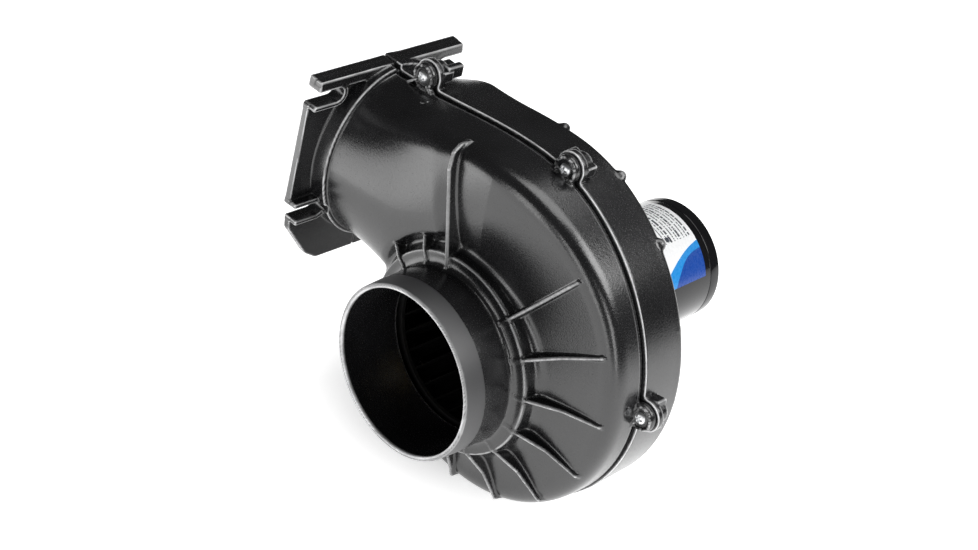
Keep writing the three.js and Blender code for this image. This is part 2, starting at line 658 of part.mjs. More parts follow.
const bush = (from, to) => ring(SHAFT_RADIUS + RUN, BUSH_RADIUS, from, to, 24);
const thrustWasher = (from, to) => ring(SHAFT_RADIUS + 0.1, BUSH_RADIUS - 0.5, from, to, 24);

// A ferrite arc that lines one side of the can.
function magnet(side) {
  const inner = CORE_RADIUS + 0.9;
  const outer = CAN_RADIUS - CAN_WALL - FIT;
  const reach = (58 * Math.PI) / 180;
  const steps = 12;
  const arc = (radius) => Array.from({ length: steps + 1 }, (_, i) => {
    const turn = mix(-reach, reach, i / steps);
    return [side * radius * Math.cos(turn), radius * Math.sin(turn)];
  });
  return plateAlongY([...arc(inner), ...arc(outer).reverse()], CORE_FRONT - 6, CORE_BACK + 6);
}

// Stacked laminations with ten open slots, on the shaft.
function armatureCore() {
  const slots = Array.from({ length: 10 }, (_, i) => {
    const turn = (i / 10) * 2 * Math.PI;
    const cutter = new THREE.BoxGeometry(9, CORE_BACK - CORE_FRONT + 2, 4);
    cutter.translate(CORE_RADIUS - 2.5, (CORE_FRONT + CORE_BACK) / 2, 0).rotateY(-turn);
    return solid(cutter);
  });
  return cut(ring(SHAFT_RADIUS + RUN, CORE_RADIUS, CORE_FRONT, CORE_BACK, 30), slots);
}

function winding(from, to) {
  const low = Math.min(from, to);
  const high = Math.max(from, to);
  const middle = (low + high) / 2;
  return turned([[9, low], [20, low], [23, middle - 2], [23, middle + 2], [20, high], [9, high]], 24);
}

function commutator() {
  const slots = Array.from({ length: 10 }, (_, i) => {
    const turn = ((i + 0.5) / 10) * 2 * Math.PI;
    const cutter = new THREE.BoxGeometry(2, 16, 0.6);
    cutter.translate(COMMUTATOR_RADIUS, BRUSH_Y, 0).rotateY(-turn);
    return solid(cutter);
  });
  return cut(ring(SHAFT_RADIUS + RUN, COMMUTATOR_RADIUS, BRUSH_Y - 8, BRUSH_Y + 8, 30), slots);
}

// Slip clearances of a brush in its holder, and the radius where the holder ends.
const BRUSH_TIP = COMMUTATOR_RADIUS + 0.08;
const BRUSH_BACK = BRUSH_TIP + BRUSH_LENGTH;
const HOLDER_END = BRUSH_BACK + SPRING_ROOM;

// A box that straddles the brush axis on one side of the shaft (side is +1 for top, -1 for bottom).
function brushBlock(side, halfWide, halfDeep, near, far) {
  const z = [side * near, side * far].sort((a, b) => a - b);
  return block([-halfWide, BRUSH_Y - halfDeep, z[0]], [halfWide, BRUSH_Y + halfDeep, z[1]]);
}

function brush(side) {
  return brushBlock(side, BRUSH_WIDE / 2, BRUSH_DEEP / 2, BRUSH_TIP, BRUSH_BACK);
}

function brushHolder(side) {
  const shell = brushBlock(side, BRUSH_WIDE / 2 + 1.2, BRUSH_DEEP / 2 + 1.2, BRUSH_TIP + 1, HOLDER_END + 1);
  const room = brushBlock(side, BRUSH_WIDE / 2 + 0.1, BRUSH_DEEP / 2 + 0.1, BRUSH_TIP - 1, HOLDER_END);
  const foot = brushBlock(side, BRUSH_WIDE / 2 + 3, BRUSH_DEEP / 2 + 1.2, BRUSH_TIP + 2, HOLDER_END);
  const footOnly = foot.intersect(block([-30, BRUSH_Y + BRUSH_DEEP / 2 + 0.2, -60], [30, 200, 60]));
  return shell.add(footOnly).subtract(room);
}

// A phenolic disc behind the holders, open round the commutator and the bolts.
function brushPlate() {
  const y = BRUSH_Y + BRUSH_DEEP / 2 + 1.2 + FIT;
  const disc = ring(COMMUTATOR_RADIUS + 1.5, CAN_RADIUS - CAN_WALL - FIT, y, y + 2, 32);
  return cut(disc, boltPlaces.map(([x, z]) => rod(BOLT_RADIUS + FIT, y - 1, y + 3, x, z, 12)));
}

// A compression spring along Z between the brush and the end of its holder.
function brushSpring(side) {
  const turns = 3;
  const wire = 0.25;
  const from = BRUSH_BACK + wire + 0.05;
  const to = HOLDER_END - wire - 0.05;
  const points = [];
  const steps = turns * 8;
  for (let i = 0; i <= steps; i++) {
    const t = i / steps;
    const turn = t * turns * 2 * Math.PI;
    points.push(new THREE.Vector3(2 * Math.cos(turn), BRUSH_Y + 2 * Math.sin(turn), side * mix(from, to, t)));
  }
  const path = new THREE.CatmullRomCurve3(points);
  const section = new THREE.Shape(Array.from({ length: 4 }, (_, i) => {
    const turn = (i / 4) * 2 * Math.PI;
    return new THREE.Vector2(wire * Math.cos(turn), wire * Math.sin(turn));
  }));
  return solid(new THREE.ExtrudeGeometry(section, { steps, extrudePath: path, bevelEnabled: false }));
}

// A thin sheet bent round the can.
function motorLabel() {
  const inner = CAN_RADIUS + FIT / 3;
  const steps = 18;
  const arc = (radius) => Array.from({ length: steps + 1 }, (_, i) => {
    const turn = mix(...LABEL_ARC, i / steps);
    return [radius * Math.cos(turn), radius * Math.sin(turn)];
  });
  return plateAlongY([...arc(inner), ...arc(inner + 0.25).reverse()], LABEL_FRONT, LABEL_REAR);
}

// The supply leads leave the can here, at its underside near the brushes.
function leadGrommet() {
  const z = -CAN_RADIUS;
  const waist = upright(3.7, z - 2, z + CAN_WALL, 0, GROMMET_Y);
  const outer = upright(5.5, z - 2.4, z - 0.35, 0, GROMMET_Y);
  const bore = upright(2, z - 5, z + 5, 0, GROMMET_Y, 16);
  return waist.add(outer).subtract(bore);
}

// ---- Assembly ----
const fan = new THREE.Group();

function place(name, body, looks) {
  const mesh = new THREE.Mesh(geometryOf(body), new THREE.MeshStandardMaterial(looks));
  mesh.name = name;
  fan.add(mesh);
}

const front = frontHalf();
const rear = rearHalf();
place("inlet_spigot", spigotOf(front), PLASTIC);
place("front_housing", shellOf(front), PLASTIC);
place("flange_front", flangeOf(front), PLASTIC);
place("rear_housing", shellOf(rear), PLASTIC);
place("flange_rear", flangeOf(rear), PLASTIC);
bossPlaces().forEach(([x, z], i) => {
  place(`housing_screw_${i + 1}`, panScrew(-BOSS_FRONT, SCREW_LENGTH, x, z), STEEL);
  place(`housing_nut_${i + 1}`, hexNut(NUT_FLOOR + FIT / 3, x, z), STEEL);
});

place("impeller_wheel", impellerWheel(), IMPELLER_PLASTIC);
place("impeller_hub", impellerHub(), BRASS);
place("hub_set_screw", hubSetScrew(), STEEL);

place("motor_shaft", motorShaft(), STEEL);
place("motor_gasket", motorGasket(), RUBBER);
place("motor_front_cap", motorFrontCap(), BLACK_PAINT);
place("motor_can", motorCan(), BLACK_PAINT);
place("motor_rear_cap", motorRearCap(), BLACK_PAINT);
place("motor_label", motorLabel(), LABEL);
place("lead_grommet", leadGrommet(), RUBBER);
motorScrewPlaces().forEach(([x, z], i) => {
  const screw = panScrew(BACK_Y - WALL, MOTOR_SCREW_LENGTH, x, z, MOTOR_SCREW_RADIUS);
  place(`motor_screw_${i + 1}`, screw, STEEL);
});
boltPlaces.forEach((spot, i) => place(`through_bolt_${i + 1}`, throughBolt(spot), STEEL));

place("front_bush", bush(MOTOR_FRONT + 5, MOTOR_FRONT + 15.5), BRONZE);
place("rear_bush", bush(MOTOR_END - 13, MOTOR_END - 3), BRONZE);
place("thrust_washer_front", thrustWasher(MOTOR_FRONT + 16.2, MOTOR_FRONT + 17.4), NYLON);
place("thrust_washer_rear", thrustWasher(BRUSH_Y + 8.1, BRUSH_Y + 9.1), NYLON);
place("magnet_left", magnet(-1), FERRITE);
place("magnet_right", magnet(1), FERRITE);
place("armature_core", armatureCore(), LAMINATION);
place("armature_winding_front", winding(CORE_FRONT - 11, CORE_FRONT), COPPER);
place("armature_winding_rear", winding(CORE_BACK, CORE_BACK + 12), COPPER);
place("commutator", commutator(), COPPER);
place("brush_plate", brushPlate(), PHENOLIC);
for (const [where, side] of [["top", 1], ["bottom", -1]]) {
  place(`brush_holder_${where}`, brushHolder(side), BRASS);
  place(`brush_${where}`, brush(side), CARBON);
  place(`brush_spring_${where}`, brushSpring(side), STEEL);
}

// The origin is the middle of the outlet on the flange's outer face.
fan.position.set(-FLANGE_X, 0, -DUCT_Z);
const blower = new THREE.Group();
blower.add(fan);

export default blower;
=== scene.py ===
"""Looks of a flange-mounted centrifugal blower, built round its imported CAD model.

The two moulded housing halves are made as fields: a function that is negative inside the plastic, with
rounded joins between its parts. A mesh is drawn over each field where it is zero. Lengths in the field
are millimetres round the shaft (shaft along Y, y = 0 where the halves meet); meshes are in metres in the
frame of the CAD model.
"""

import json
import math

import bmesh
import bpy
import numpy as np
from mathutils import Matrix, Vector


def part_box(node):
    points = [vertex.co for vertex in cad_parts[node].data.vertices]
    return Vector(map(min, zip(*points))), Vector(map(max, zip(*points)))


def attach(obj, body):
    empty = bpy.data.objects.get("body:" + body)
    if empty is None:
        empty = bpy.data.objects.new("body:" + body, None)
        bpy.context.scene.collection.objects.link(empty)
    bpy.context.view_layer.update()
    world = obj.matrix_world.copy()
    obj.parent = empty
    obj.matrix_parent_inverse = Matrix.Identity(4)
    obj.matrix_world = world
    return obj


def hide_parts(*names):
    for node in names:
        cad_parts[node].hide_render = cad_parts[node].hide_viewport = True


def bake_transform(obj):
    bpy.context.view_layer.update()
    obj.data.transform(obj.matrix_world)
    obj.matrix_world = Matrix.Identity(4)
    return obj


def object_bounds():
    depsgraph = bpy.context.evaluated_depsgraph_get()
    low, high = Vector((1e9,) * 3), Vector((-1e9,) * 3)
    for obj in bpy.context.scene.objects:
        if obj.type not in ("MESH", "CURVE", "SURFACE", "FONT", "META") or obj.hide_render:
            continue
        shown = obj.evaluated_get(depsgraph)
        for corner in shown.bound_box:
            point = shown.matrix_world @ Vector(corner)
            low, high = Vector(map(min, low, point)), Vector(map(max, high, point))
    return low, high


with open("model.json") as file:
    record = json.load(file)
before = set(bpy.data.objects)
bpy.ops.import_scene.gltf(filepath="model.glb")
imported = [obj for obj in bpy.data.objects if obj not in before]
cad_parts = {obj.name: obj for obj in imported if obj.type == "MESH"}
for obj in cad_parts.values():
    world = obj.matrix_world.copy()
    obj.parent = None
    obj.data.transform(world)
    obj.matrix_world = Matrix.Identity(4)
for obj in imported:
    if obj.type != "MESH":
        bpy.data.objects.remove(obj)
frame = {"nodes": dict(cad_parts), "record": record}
CAD_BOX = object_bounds()

# ---- Driving dimensions, in millimetres round the shaft, as in the CAD model ----
WALL = 2.5
SPIGOT_OUTER, SPIGOT_INNER, SPIGOT_RIM_Y = 51.0, 48.0, -72.0
LEAD_IN = 13.0  # length of the spigot's taper
HOSE_STOP_RADIUS, HOSE_STOP_Y, HOSE_STOP_FILLET = 60.0, -37.0, 7.0
FACE_Y, VALLEY_Y = -33.0, -28.5
SHOULDER_Y, SHOULDER_Y_OUTLET, SHOULDER_INSET = -23.0, -36.0, 9.0
SCROLL_RADIUS, SCROLL_GROWTH, SCROLL_EASE = 107.8, 12.0, math.radians(65)
SCROLL_TOP = math.pi / 2
BACK_Y = 31.0
SHOULDER_ROUND, FLOOR_ROUND, BACK_ROUND = 11.0, 14.0, 3.0  # roundings of the housing's long corners
LIP_STEP = 1.4  # the front half is smaller than the rear half by this much all round
GROOVE_DEPTH, GROOVE_WIDTH = 1.2, 3.0  # the front half's groove beside the seam
DRAFT_FRONT, DRAFT_REAR, DRAFT_DEPTH = 0.6, 0.4, 25.0  # the walls lean in by this much over this depth
SEAM_LAND = 2.6  # the rear rim is thicker by this much where the front half rests on it
SEAM_GAP = 0.12  # from the parting plane to each half
FLANGE_X, FLANGE_PLATE, FLANGE_DEPTH = -125.7, 4.6, 10.0
FLANGE_HALF_WIDTH, FLANGE_TOP, FLANGE_BOTTOM = 54.0, 113.0, -16.6
FLANGE_EDGE = ([12.5, 22.0, 29.0, 96.0, 99.0], [55.0, 55.4, 57.8, 56.0, FLANGE_HALF_WIDTH])  # z, half width
FLANGE_CORNERS = [(55.0, 12.5), (38.5, -10.5), (29.0, FLANGE_BOTTOM)]  # half width, z
DUCT_Z, DUCT_HALF_WIDTH, DUCT_HALF_HEIGHT = 57.0, 43.0, 54.0
DUCT_FRONT, DUCT_FLOOR = 35.0, 50.0
SLOT_WIDTH, SLOT_DEPTH, SLOT_HEIGHTS, SLOT_RIM = 9.0, 18.5, (102.0, 25.6), 3.0
COLLAR_STEP, COLLAR_END = 2.4, 15.0
RIB_PITCH, RIB_START, RIB_THICK, RIB_RISE = math.pi / 8, math.radians(9.1), 2.0, 1.5
FIN_FOOT, FIN_DEPTH = 49.0, -24.0  # radius where a fin starts, inside the spigot's wall, and y of its root
TALL_FIN_ANGLE, TALL_FIN_END = math.radians(104), 123.0
SHORT_FIN_ANGLES, SHORT_FIN_END = [math.radians(a) for a in (122.3, 144.7)], 72.0
BOSS_RADIUS, BOSS_FRONT, BOSS_REAR, BOSS_OFFSET = 9.4, 3.5, 11.0, 2.6
BOSS_ANGLES = [math.radians(a) for a in (80.7, 11.2, -84, -172)]
DUCT_BOSS = (-89.7, 119.3)  # x, z
EDGE_ROUND = 1.3  # rounding of the bosses' edges
RING_RADIUS, RING_THICK, TOWER_RADIUS = 6.6, 1.6, 6.9  # in front of a boss and behind it
GUSSET_TILT = 50.0  # degrees between a boss's gussets and the way to the shaft
GUSSET_REACH, GUSSET_SIZE = 9.5, (4.5, 2.2, 0.8)  # sizes of blocks are half lengths: along, y, across
PRONG_OUT, PRONG_ACROSS, PRONG_Y, PRONG_SIZE = 1.5, 7.0, 7.4, (3.4, 3.6, 1.9)
LUG_OFFSET, LUG_SIZE = (6.0, 13.0, 3.0), (4.0, 6.0, 2.2)  # behind the duct's boss
SCREW_HOLE, NUT_RECESS, SHAFT_HOLE = 2.3, 4.3, 10.0  # radii
NUT_FLOOR, NUT_ROOM = 6.5, 13.0  # y of the nut pocket's bottom, and of the end of the room behind it
KNOB_ANGLES, KNOB_RADIUS = [math.radians(a) for a in (96, 75, 54.7)], 3.4
POCKET_RADIUS, POCKET_Y = 62.0, -30.0  # the low ground between the spigot and the duct's bulge
WHEEL_ROOM = 60.5
PEDESTAL_RADIUS, PEDESTAL_Y = 43.0, 36.0
BEAD_Y, BEAD_RADIUS, BEAD_SINK = 0.55, 0.42, 0.44
MARK_PLACES = ((-79.6, -10.0, 111.3), (23.8, -11.8, 119.6), (104.8, -10.0, 26.0))  # near bosses in sight
MARK_FOOT, MARK_TOP, MARK_HEIGHT = 3.0, 2.5, 0.8
CAN_RADIUS, CAN_WALL, MOTOR_FRONT, MOTOR_END, REAR_CAP_Y = 38.2, 2.0, 37.2, 155.4, 147.0
CAP_SPIGOT = CAN_RADIUS - CAN_WALL - 0.4  # radius of the caps' spigots inside the can
BUSH_SEAT = 8.05
LABEL_FRONT, LABEL_REAR, LABEL_ARC = 76.0, 142.0, (math.radians(21.5), math.radians(126))
LABEL_OUTSIDE, LABEL_UNDERSIDE = 0.32, 0.06  # above the can
SCREW_RADIUS, SCREW_LENGTH = 2.1, 13.5
SPRING_WIRE, SPRING_TURNS = 0.25, 3

SHIFT = np.array([-FLANGE_X, 0.0, -DUCT_Z])  # from the shaft's frame to the CAD model's
MM = 0.001
CELL = 0.9  # spacing of the grid that a field is drawn on


# ---- Field tools ----
def mix(a, b, t):
    return a + (b - a) * t


def ease(t):
    t = np.clip(t, 0, 1)
    return t * t * (3 - 2 * t)


def join(a, b, round_by=0.0):
    """Both shapes, with a fillet of about round_by where they meet."""
    if round_by <= 0:
        return np.minimum(a, b)
    h = np.maximum(round_by - np.abs(a - b), 0) / round_by
    return np.minimum(a, b) - h * h * round_by * 0.25


def both(a, b, round_by=0.0):
    """Only where both shapes are, with its edge rounded."""
    return -join(-a, -b, round_by)


def disc(p, x, z, radius):
    """A round bar along Y."""
    return np.hypot(p[0] - x, p[2] - z) - radius


def between(v, low, high):
    return np.maximum(low - v, v - high)


def seam_radius(angle):
    """The scroll's spiral where the halves meet; its growth stops at the duct."""
    eased = np.maximum(0, angle - SCROLL_EASE)
    return SCROLL_RADIUS + SCROLL_GROWTH * (angle - eased**2 / (2 * (SCROLL_TOP - SCROLL_EASE)))


def toward_outlet(angle):
    return ease((angle - 0.6) / 1.15)


def shoulder_y(angle):
    """y of the front face's outer shoulder, which comes forward toward the outlet."""
    room = seam_radius(angle) - HOSE_STOP_RADIUS - SHOULDER_INSET
    return mix(FACE_Y, mix(SHOULDER_Y, SHOULDER_Y_OUTLET, toward_outlet(angle)), ease(room / 23))


def front_surface(radius, angle, rim):
    """y of the hollow front face at a radius."""
    shoulder = np.maximum(rim - SHOULDER_INSET, HOSE_STOP_RADIUS + 1)
    t = np.clip((radius - HOSE_STOP_RADIUS + 1) / (shoulder - HOSE_STOP_RADIUS + 1), 0, 1)
    return mix(round_face(radius), shoulder_y(angle), 1 - (1 - t) ** 2.2)


def round_face(radius):
    """y of the round middle: it stands forward over the wheel's eye, under the hose stop."""
    return mix(FACE_Y, VALLEY_Y, ease((radius - HOSE_STOP_RADIUS + 0.8) / 2.0))


# ---- Housing fields ----
def lip(y):
    """How far the wall lies inside the seam: the front half is smaller, and has a groove beside the seam."""
    front = LIP_STEP + DRAFT_FRONT * np.clip(-y / DRAFT_DEPTH, 0, 1)
    front = front + GROOVE_DEPTH * ease((y + GROOVE_WIDTH) / 0.6)
    return np.where(y < 0, front, DRAFT_REAR * np.clip(y / DRAFT_DEPTH, 0, 1))


def scroll_field(p):
    """The spiral part of the housing, from the tongue round to the duct."""
    radius = np.hypot(p[0], p[2])
    angle = np.arctan2(p[2], p[0])
    angle = np.where((p[0] < 0) & (p[2] >= 0), SCROLL_TOP, angle)
    rim = seam_radius(angle)
    wall = radius - rim + lip(p[1])
    face = front_surface(radius, angle, rim) - p[1]
    return both(both(wall, face, SHOULDER_ROUND), p[1] - BACK_Y, BACK_ROUND)


def duct_field(p):
    """The duct: a box where it leaves the scroll, which turns into an oval at the flange."""
    out = np.clip(p[0] / FLANGE_X, 0, 1)
    radius = np.hypot(p[0], p[2])
    angle = np.arctan2(p[2], p[0])
    rim = seam_radius(SCROLL_TOP)
    top = mix(rim, DUCT_Z + DUCT_HALF_HEIGHT, ease(out))
    floor = mix(DUCT_FLOOR, DUCT_Z - DUCT_HALF_HEIGHT, ease(np.minimum(1, out * 1.9)))
    front = mix(DUCT_FRONT, DUCT_HALF_WIDTH, out)
    rear = mix(BACK_Y, DUCT_HALF_WIDTH, ease((out - 0.3) / 0.7))

    middle, half = (top + floor) / 2, (top - floor) / 2
    reach = np.where(p[1] < 0, front, rear)
    oval = np.hypot(p[1] / reach, (p[2] - middle) / half)
    oval = (oval - 1) * np.minimum(reach, half) + lip(p[1]) * np.clip((p[2] - middle) / half, 0, 1)
    pocket = both(radius - POCKET_RADIUS - 4, p[1] - POCKET_Y)
    oval = both(oval, -pocket, 4.0)

    valley = front_surface(radius, SCROLL_TOP, rim)
    bulge = mix(POCKET_Y, -front, ease((radius - POCKET_RADIUS) / 9))
    face = mix(valley, bulge, ease((angle - TALL_FIN_ANGLE + 0.03) / 0.2)) - p[1]
    box = both(p[2] - top + lip(p[1]), face, SHOULDER_ROUND)
    box = both(box, p[1] - rear, BACK_ROUND)
    box = both(box, floor - p[2], FLOOR_ROUND)

    # the duct turns oval early in front and late behind
    behind = ease((p[1] + 4) / 8)
    return mix(box, oval, mix(ease(out / 0.8), ease((out - 0.55) / 0.45), behind))


def body_field(p):
    """Outside of the scroll, the round middle and the duct, as one shape."""
    radius = np.hypot(p[0], p[2])
    angle = np.arctan2(p[2], p[0])
    upper_left = (p[0] < 0) & (p[2] >= 0)
    start = mix(seam_radius(-math.pi), WHEEL_ROOM + WALL, ease((math.pi - angle) / 0.5))
    face = round_face(radius)
    middle = both(both(radius - start + lip(p[1]), face - p[1], 5.0), p[1] - BACK_Y, BACK_ROUND)
    duct = both(duct_field(p), FLANGE_X - p[0])
    blended = mix(join(middle, duct), join(middle, duct, 5.0), ease(-p[0] / 25))
    return np.where(upper_left, blended, scroll_field(p))


def spigot_fields(p):
    """The spigot's tube, which tapers to its mouth, and the ring that stops the hose."""
    radius = np.hypot(p[0], p[2])
    lead_in = np.clip((SPIGOT_RIM_Y + LEAD_IN - p[1]) / LEAD_IN, 0, 1)
    tube = both(radius - SPIGOT_OUTER - 0.5 + 0.7 * lead_in, SPIGOT_RIM_Y - p[1], 1.4)
    tube = both(tube, p[1] - FACE_Y - 2)
    stop = both(both(radius - HOSE_STOP_RADIUS, HOSE_STOP_Y - p[1], 2.4), p[1] - VALLEY_Y - 3)
    return join(tube, stop, 5.0)


def plate_field(p, angle, outline, thick, low, high):
    """A thin fin in a half plane through the shaft, from crest points [radius, y], between two radii."""
    along = p[0] * math.cos(angle) + p[2] * math.sin(angle)
    across = np.abs(-p[0] * math.sin(angle) + p[2] * math.cos(angle))
    crest = np.interp(along, [r for r, _ in outline], [y for _, y in outline])
    depth = np.clip((p[1] - crest) / 14, 0, 1)
    side = across - thick / 2 - 0.5 * depth
    fin = both(side, crest - p[1], 1.5)
    return both(both(fin, along - high, 1.5), low - along, 1.0)


def front_fins(p):
    """Seven ribs from the hose stop to the shoulder, a tall fin to the duct's top and two short fins."""
    fins = []
    for k in range(-4, 3):
        angle = RIB_START + k * RIB_PITCH
        end = float(seam_radius(angle)) - 2 - 1.25 * (k + 4)
        top = float(shoulder_y(angle))
        base = HOSE_STOP_Y - RIB_RISE
        mid = mix(HOSE_STOP_RADIUS, end, 0.45)
        outline = [
            (SPIGOT_OUTER - 1, base),
            (HOSE_STOP_RADIUS, base + 1),
            (mid, mix(base + 1, top, 0.66) - 0.9),
            (end - 6, top - 2.4),
            (end, top - 1.2),
        ]
        rib = plate_field(p, angle, outline, RIB_THICK, SPIGOT_OUTER + 1.5, end)
        fins.append(both(rib, p[1] - top - 5))
    crest = HOSE_STOP_Y - 3
    tall = [(FIN_FOOT, crest), (110, crest), (119, crest + 3), (TALL_FIN_END, crest + 9)]
    fin = plate_field(p, TALL_FIN_ANGLE, tall, 2.4, FIN_FOOT, TALL_FIN_END)
    fins.append(both(fin, p[1] - FIN_DEPTH))
    short = [(FIN_FOOT, crest + 1), (60, crest + 1), (69, crest + 4), (SHORT_FIN_END, FIN_DEPTH)]
    for angle in SHORT_FIN_ANGLES:
        fin = plate_field(p, angle, short, RIB_THICK, FIN_FOOT, SHORT_FIN_END)
        fins.append(both(fin, p[1] - FIN_DEPTH))
    return np.minimum.reduce(fins)


def back_fins(p):
    """Low ribs on the back plate, and the knobs at the ends of the upper ones."""
    fins = []
    for k in range(-8, 5):
        angle = RIB_START + k * RIB_PITCH
        end = float(seam_radius(min(angle, SCROLL_TOP))) - 1.5
        along = p[0] * math.cos(angle) + p[2] * math.sin(angle)
        across = np.abs(-p[0] * math.sin(angle) + p[2] * math.cos(angle))
        slope = [PEDESTAL_RADIUS - 2, end - 9, end]
        crest = np.interp(along, slope, [PEDESTAL_Y - 2, BACK_Y + 1.6, BACK_Y - 1.0])
        fin = both(across - RIB_THICK / 2 - 0.3, p[1] - crest, 0.9)
        fin = both(both(fin, along - end, 2.5), PEDESTAL_RADIUS - 2 - along)
        fins.append(both(fin, BACK_Y - 4 - p[1]))
    for angle in KNOB_ANGLES:
        reach = float(seam_radius(min(angle, SCROLL_TOP))) - 2.4
        x, z = reach * math.cos(angle), reach * math.sin(angle)
        knob = np.sqrt((p[0] - x) ** 2 + (p[2] - z) ** 2 + (p[1] - BACK_Y) ** 2) - KNOB_RADIUS
        fins.append(both(knob, BACK_Y - 4 - p[1]))
    return np.minimum.reduce(fins)


def boss_places():
    """x and z of the five screws."""
    places = [DUCT_BOSS]
    for angle in BOSS_ANGLES:
        reach = float(seam_radius(angle)) + BOSS_OFFSET
        places.append((reach * math.cos(angle), reach * math.sin(angle)))
    return places


def slot_field(p, grow=0.0):
    """The four open-ended slots, widened by grow for the rims round them."""
    half = SLOT_WIDTH / 2 + grow
    end = FLANGE_HALF_WIDTH - SLOT_DEPTH + SLOT_WIDTH / 2
    y = np.abs(p[1])
    slots = []
    for height in SLOT_HEIGHTS:
        dz = p[2] - height
        slots.append(np.hypot(np.minimum(y - end, 0), dz) - half)
    return np.minimum.reduce(slots)


def flange_field(p):
    """The flange's plate, its thick top bar and the thick rims of its slots."""
    y = np.abs(p[1])
    plate = both(between(p[2], FLANGE_BOTTOM, FLANGE_TOP), y - np.interp(p[2], *FLANGE_EDGE), 0.8)
    for (y0, z0), (y1, z1) in zip(FLANGE_CORNERS, FLANGE_CORNERS[1:]):
        length = math.hypot(y1 - y0, z1 - z0)
        outward = ((z0 - z1) / length, -(y0 - y1) / length)
        plate = both(plate, (y - y0) * outward[0] + (p[2] - z0) * outward[1], 1.0)
    sheet = both(plate, between(p[0], FLANGE_X, FLANGE_X + FLANGE_PLATE), 0.7)
    deep = between(p[0], FLANGE_X, FLANGE_X + FLANGE_DEPTH)
    bar = both(both(plate, SLOT_HEIGHTS[0] + SLOT_WIDTH / 2 - p[2], 0.8), deep, 0.8)
    rims = both(both(plate, slot_field(p, SLOT_RIM), 0.8), deep, 0.8)
    return join(sheet, join(bar, rims, 1.0), 1.2)


def collar_field(p, body):
    """The band round the duct behind the flange, which swells round the slots."""
    reach = between(p[0], FLANGE_X, FLANGE_X + COLLAR_END)
    return both(body - COLLAR_STEP, reach, 0.9)


def outer_field(p, front):
    """One half before it is hollowed, and the body alone, which the hollow is offset from."""
    body = body_field(p)
    shape = join(body, collar_field(p, body), 1.0)
    shape = join(shape, flange_field(p), 1.6)
    if front:
        shape = join(shape, spigot_fields(p), HOSE_STOP_FILLET)
        shape = join(shape, front_fins(p), 1.6)
        lobe, low, high = BOSS_RADIUS - LIP_STEP, -BOSS_FRONT, 1.0
    else:
        pedestal = both(np.hypot(p[0], p[2]) - PEDESTAL_RADIUS, p[1] - PEDESTAL_Y, 1.2)
        pedestal = both(pedestal, BACK_Y - 3 - p[1])
        shape = join(join(shape, pedestal, 2.0), back_fins(p), 1.6)
        lobe, low, high = BOSS_RADIUS, -1.0, 4.6
    for x, z in boss_places():
        boss = both(disc(p, x, z, lobe), between(p[1], low, high), EDGE_ROUND)
        shape = join(shape, boss, 2.5)
    shape = join(shape, boss_extras(p, front), 0.8)
    return both(shape, FLANGE_X - p[0], 0.8), body


def block_field(p, centre, along, half):
    """A rounded block with one side along a direction in the X-Z plane."""
    dx, dz = p[0] - centre[0], p[2] - centre[2]
    u = np.abs(dx * along[0] + dz * along[1]) - half[0]
    v = np.abs(-dx * along[1] + dz * along[0]) - half[2]
    return both(both(u, v, 1.0), np.abs(p[1] - centre[1]) - half[1], 1.0)


def boss_extras(p, front):
    """In front of each boss a ring and two gussets; behind it a nut tower and two prongs."""
    pieces = []
    for x, z in boss_places():
        reach = math.hypot(x, z)
        out = (x / reach, z / reach) if x > DUCT_BOSS[0] else (0.0, 1.0)
        if front:
            band = np.abs(disc(p, x, z, RING_RADIUS)) - RING_THICK / 2
            pieces.append(both(band, between(p[1], -BOSS_FRONT - 1.1, -2.0), 0.5))
        else:
            pieces.append(both(disc(p, x, z, TOWER_RADIUS), between(p[1], 0.0, BOSS_REAR), EDGE_ROUND))
        for side in (-1, 1):
            if front:
                tilt = side * math.radians(GUSSET_TILT)
                way = (
                    out[0] * math.cos(tilt) - out[1] * math.sin(tilt),
                    out[0] * math.sin(tilt) + out[1] * math.cos(tilt),
                )
                centre = (x - way[0] * GUSSET_REACH, -2.9, z - way[1] * GUSSET_REACH)
                pieces.append(block_field(p, centre, way, GUSSET_SIZE))
            else:
                across = (-out[1] * side, out[0] * side)
                centre = (
                    x + out[0] * PRONG_OUT + across[0] * PRONG_ACROSS,
                    PRONG_Y,
                    z + out[1] * PRONG_OUT + across[1] * PRONG_ACROSS,
                )
                pieces.append(block_field(p, centre, out, PRONG_SIZE))
    if not front:
        x, z = DUCT_BOSS
        centre = (x + LUG_OFFSET[0], LUG_OFFSET[1], z + LUG_OFFSET[2])
        pieces.append(block_field(p, centre, (0.0, 1.0), LUG_SIZE))
    return np.minimum.reduce(pieces)


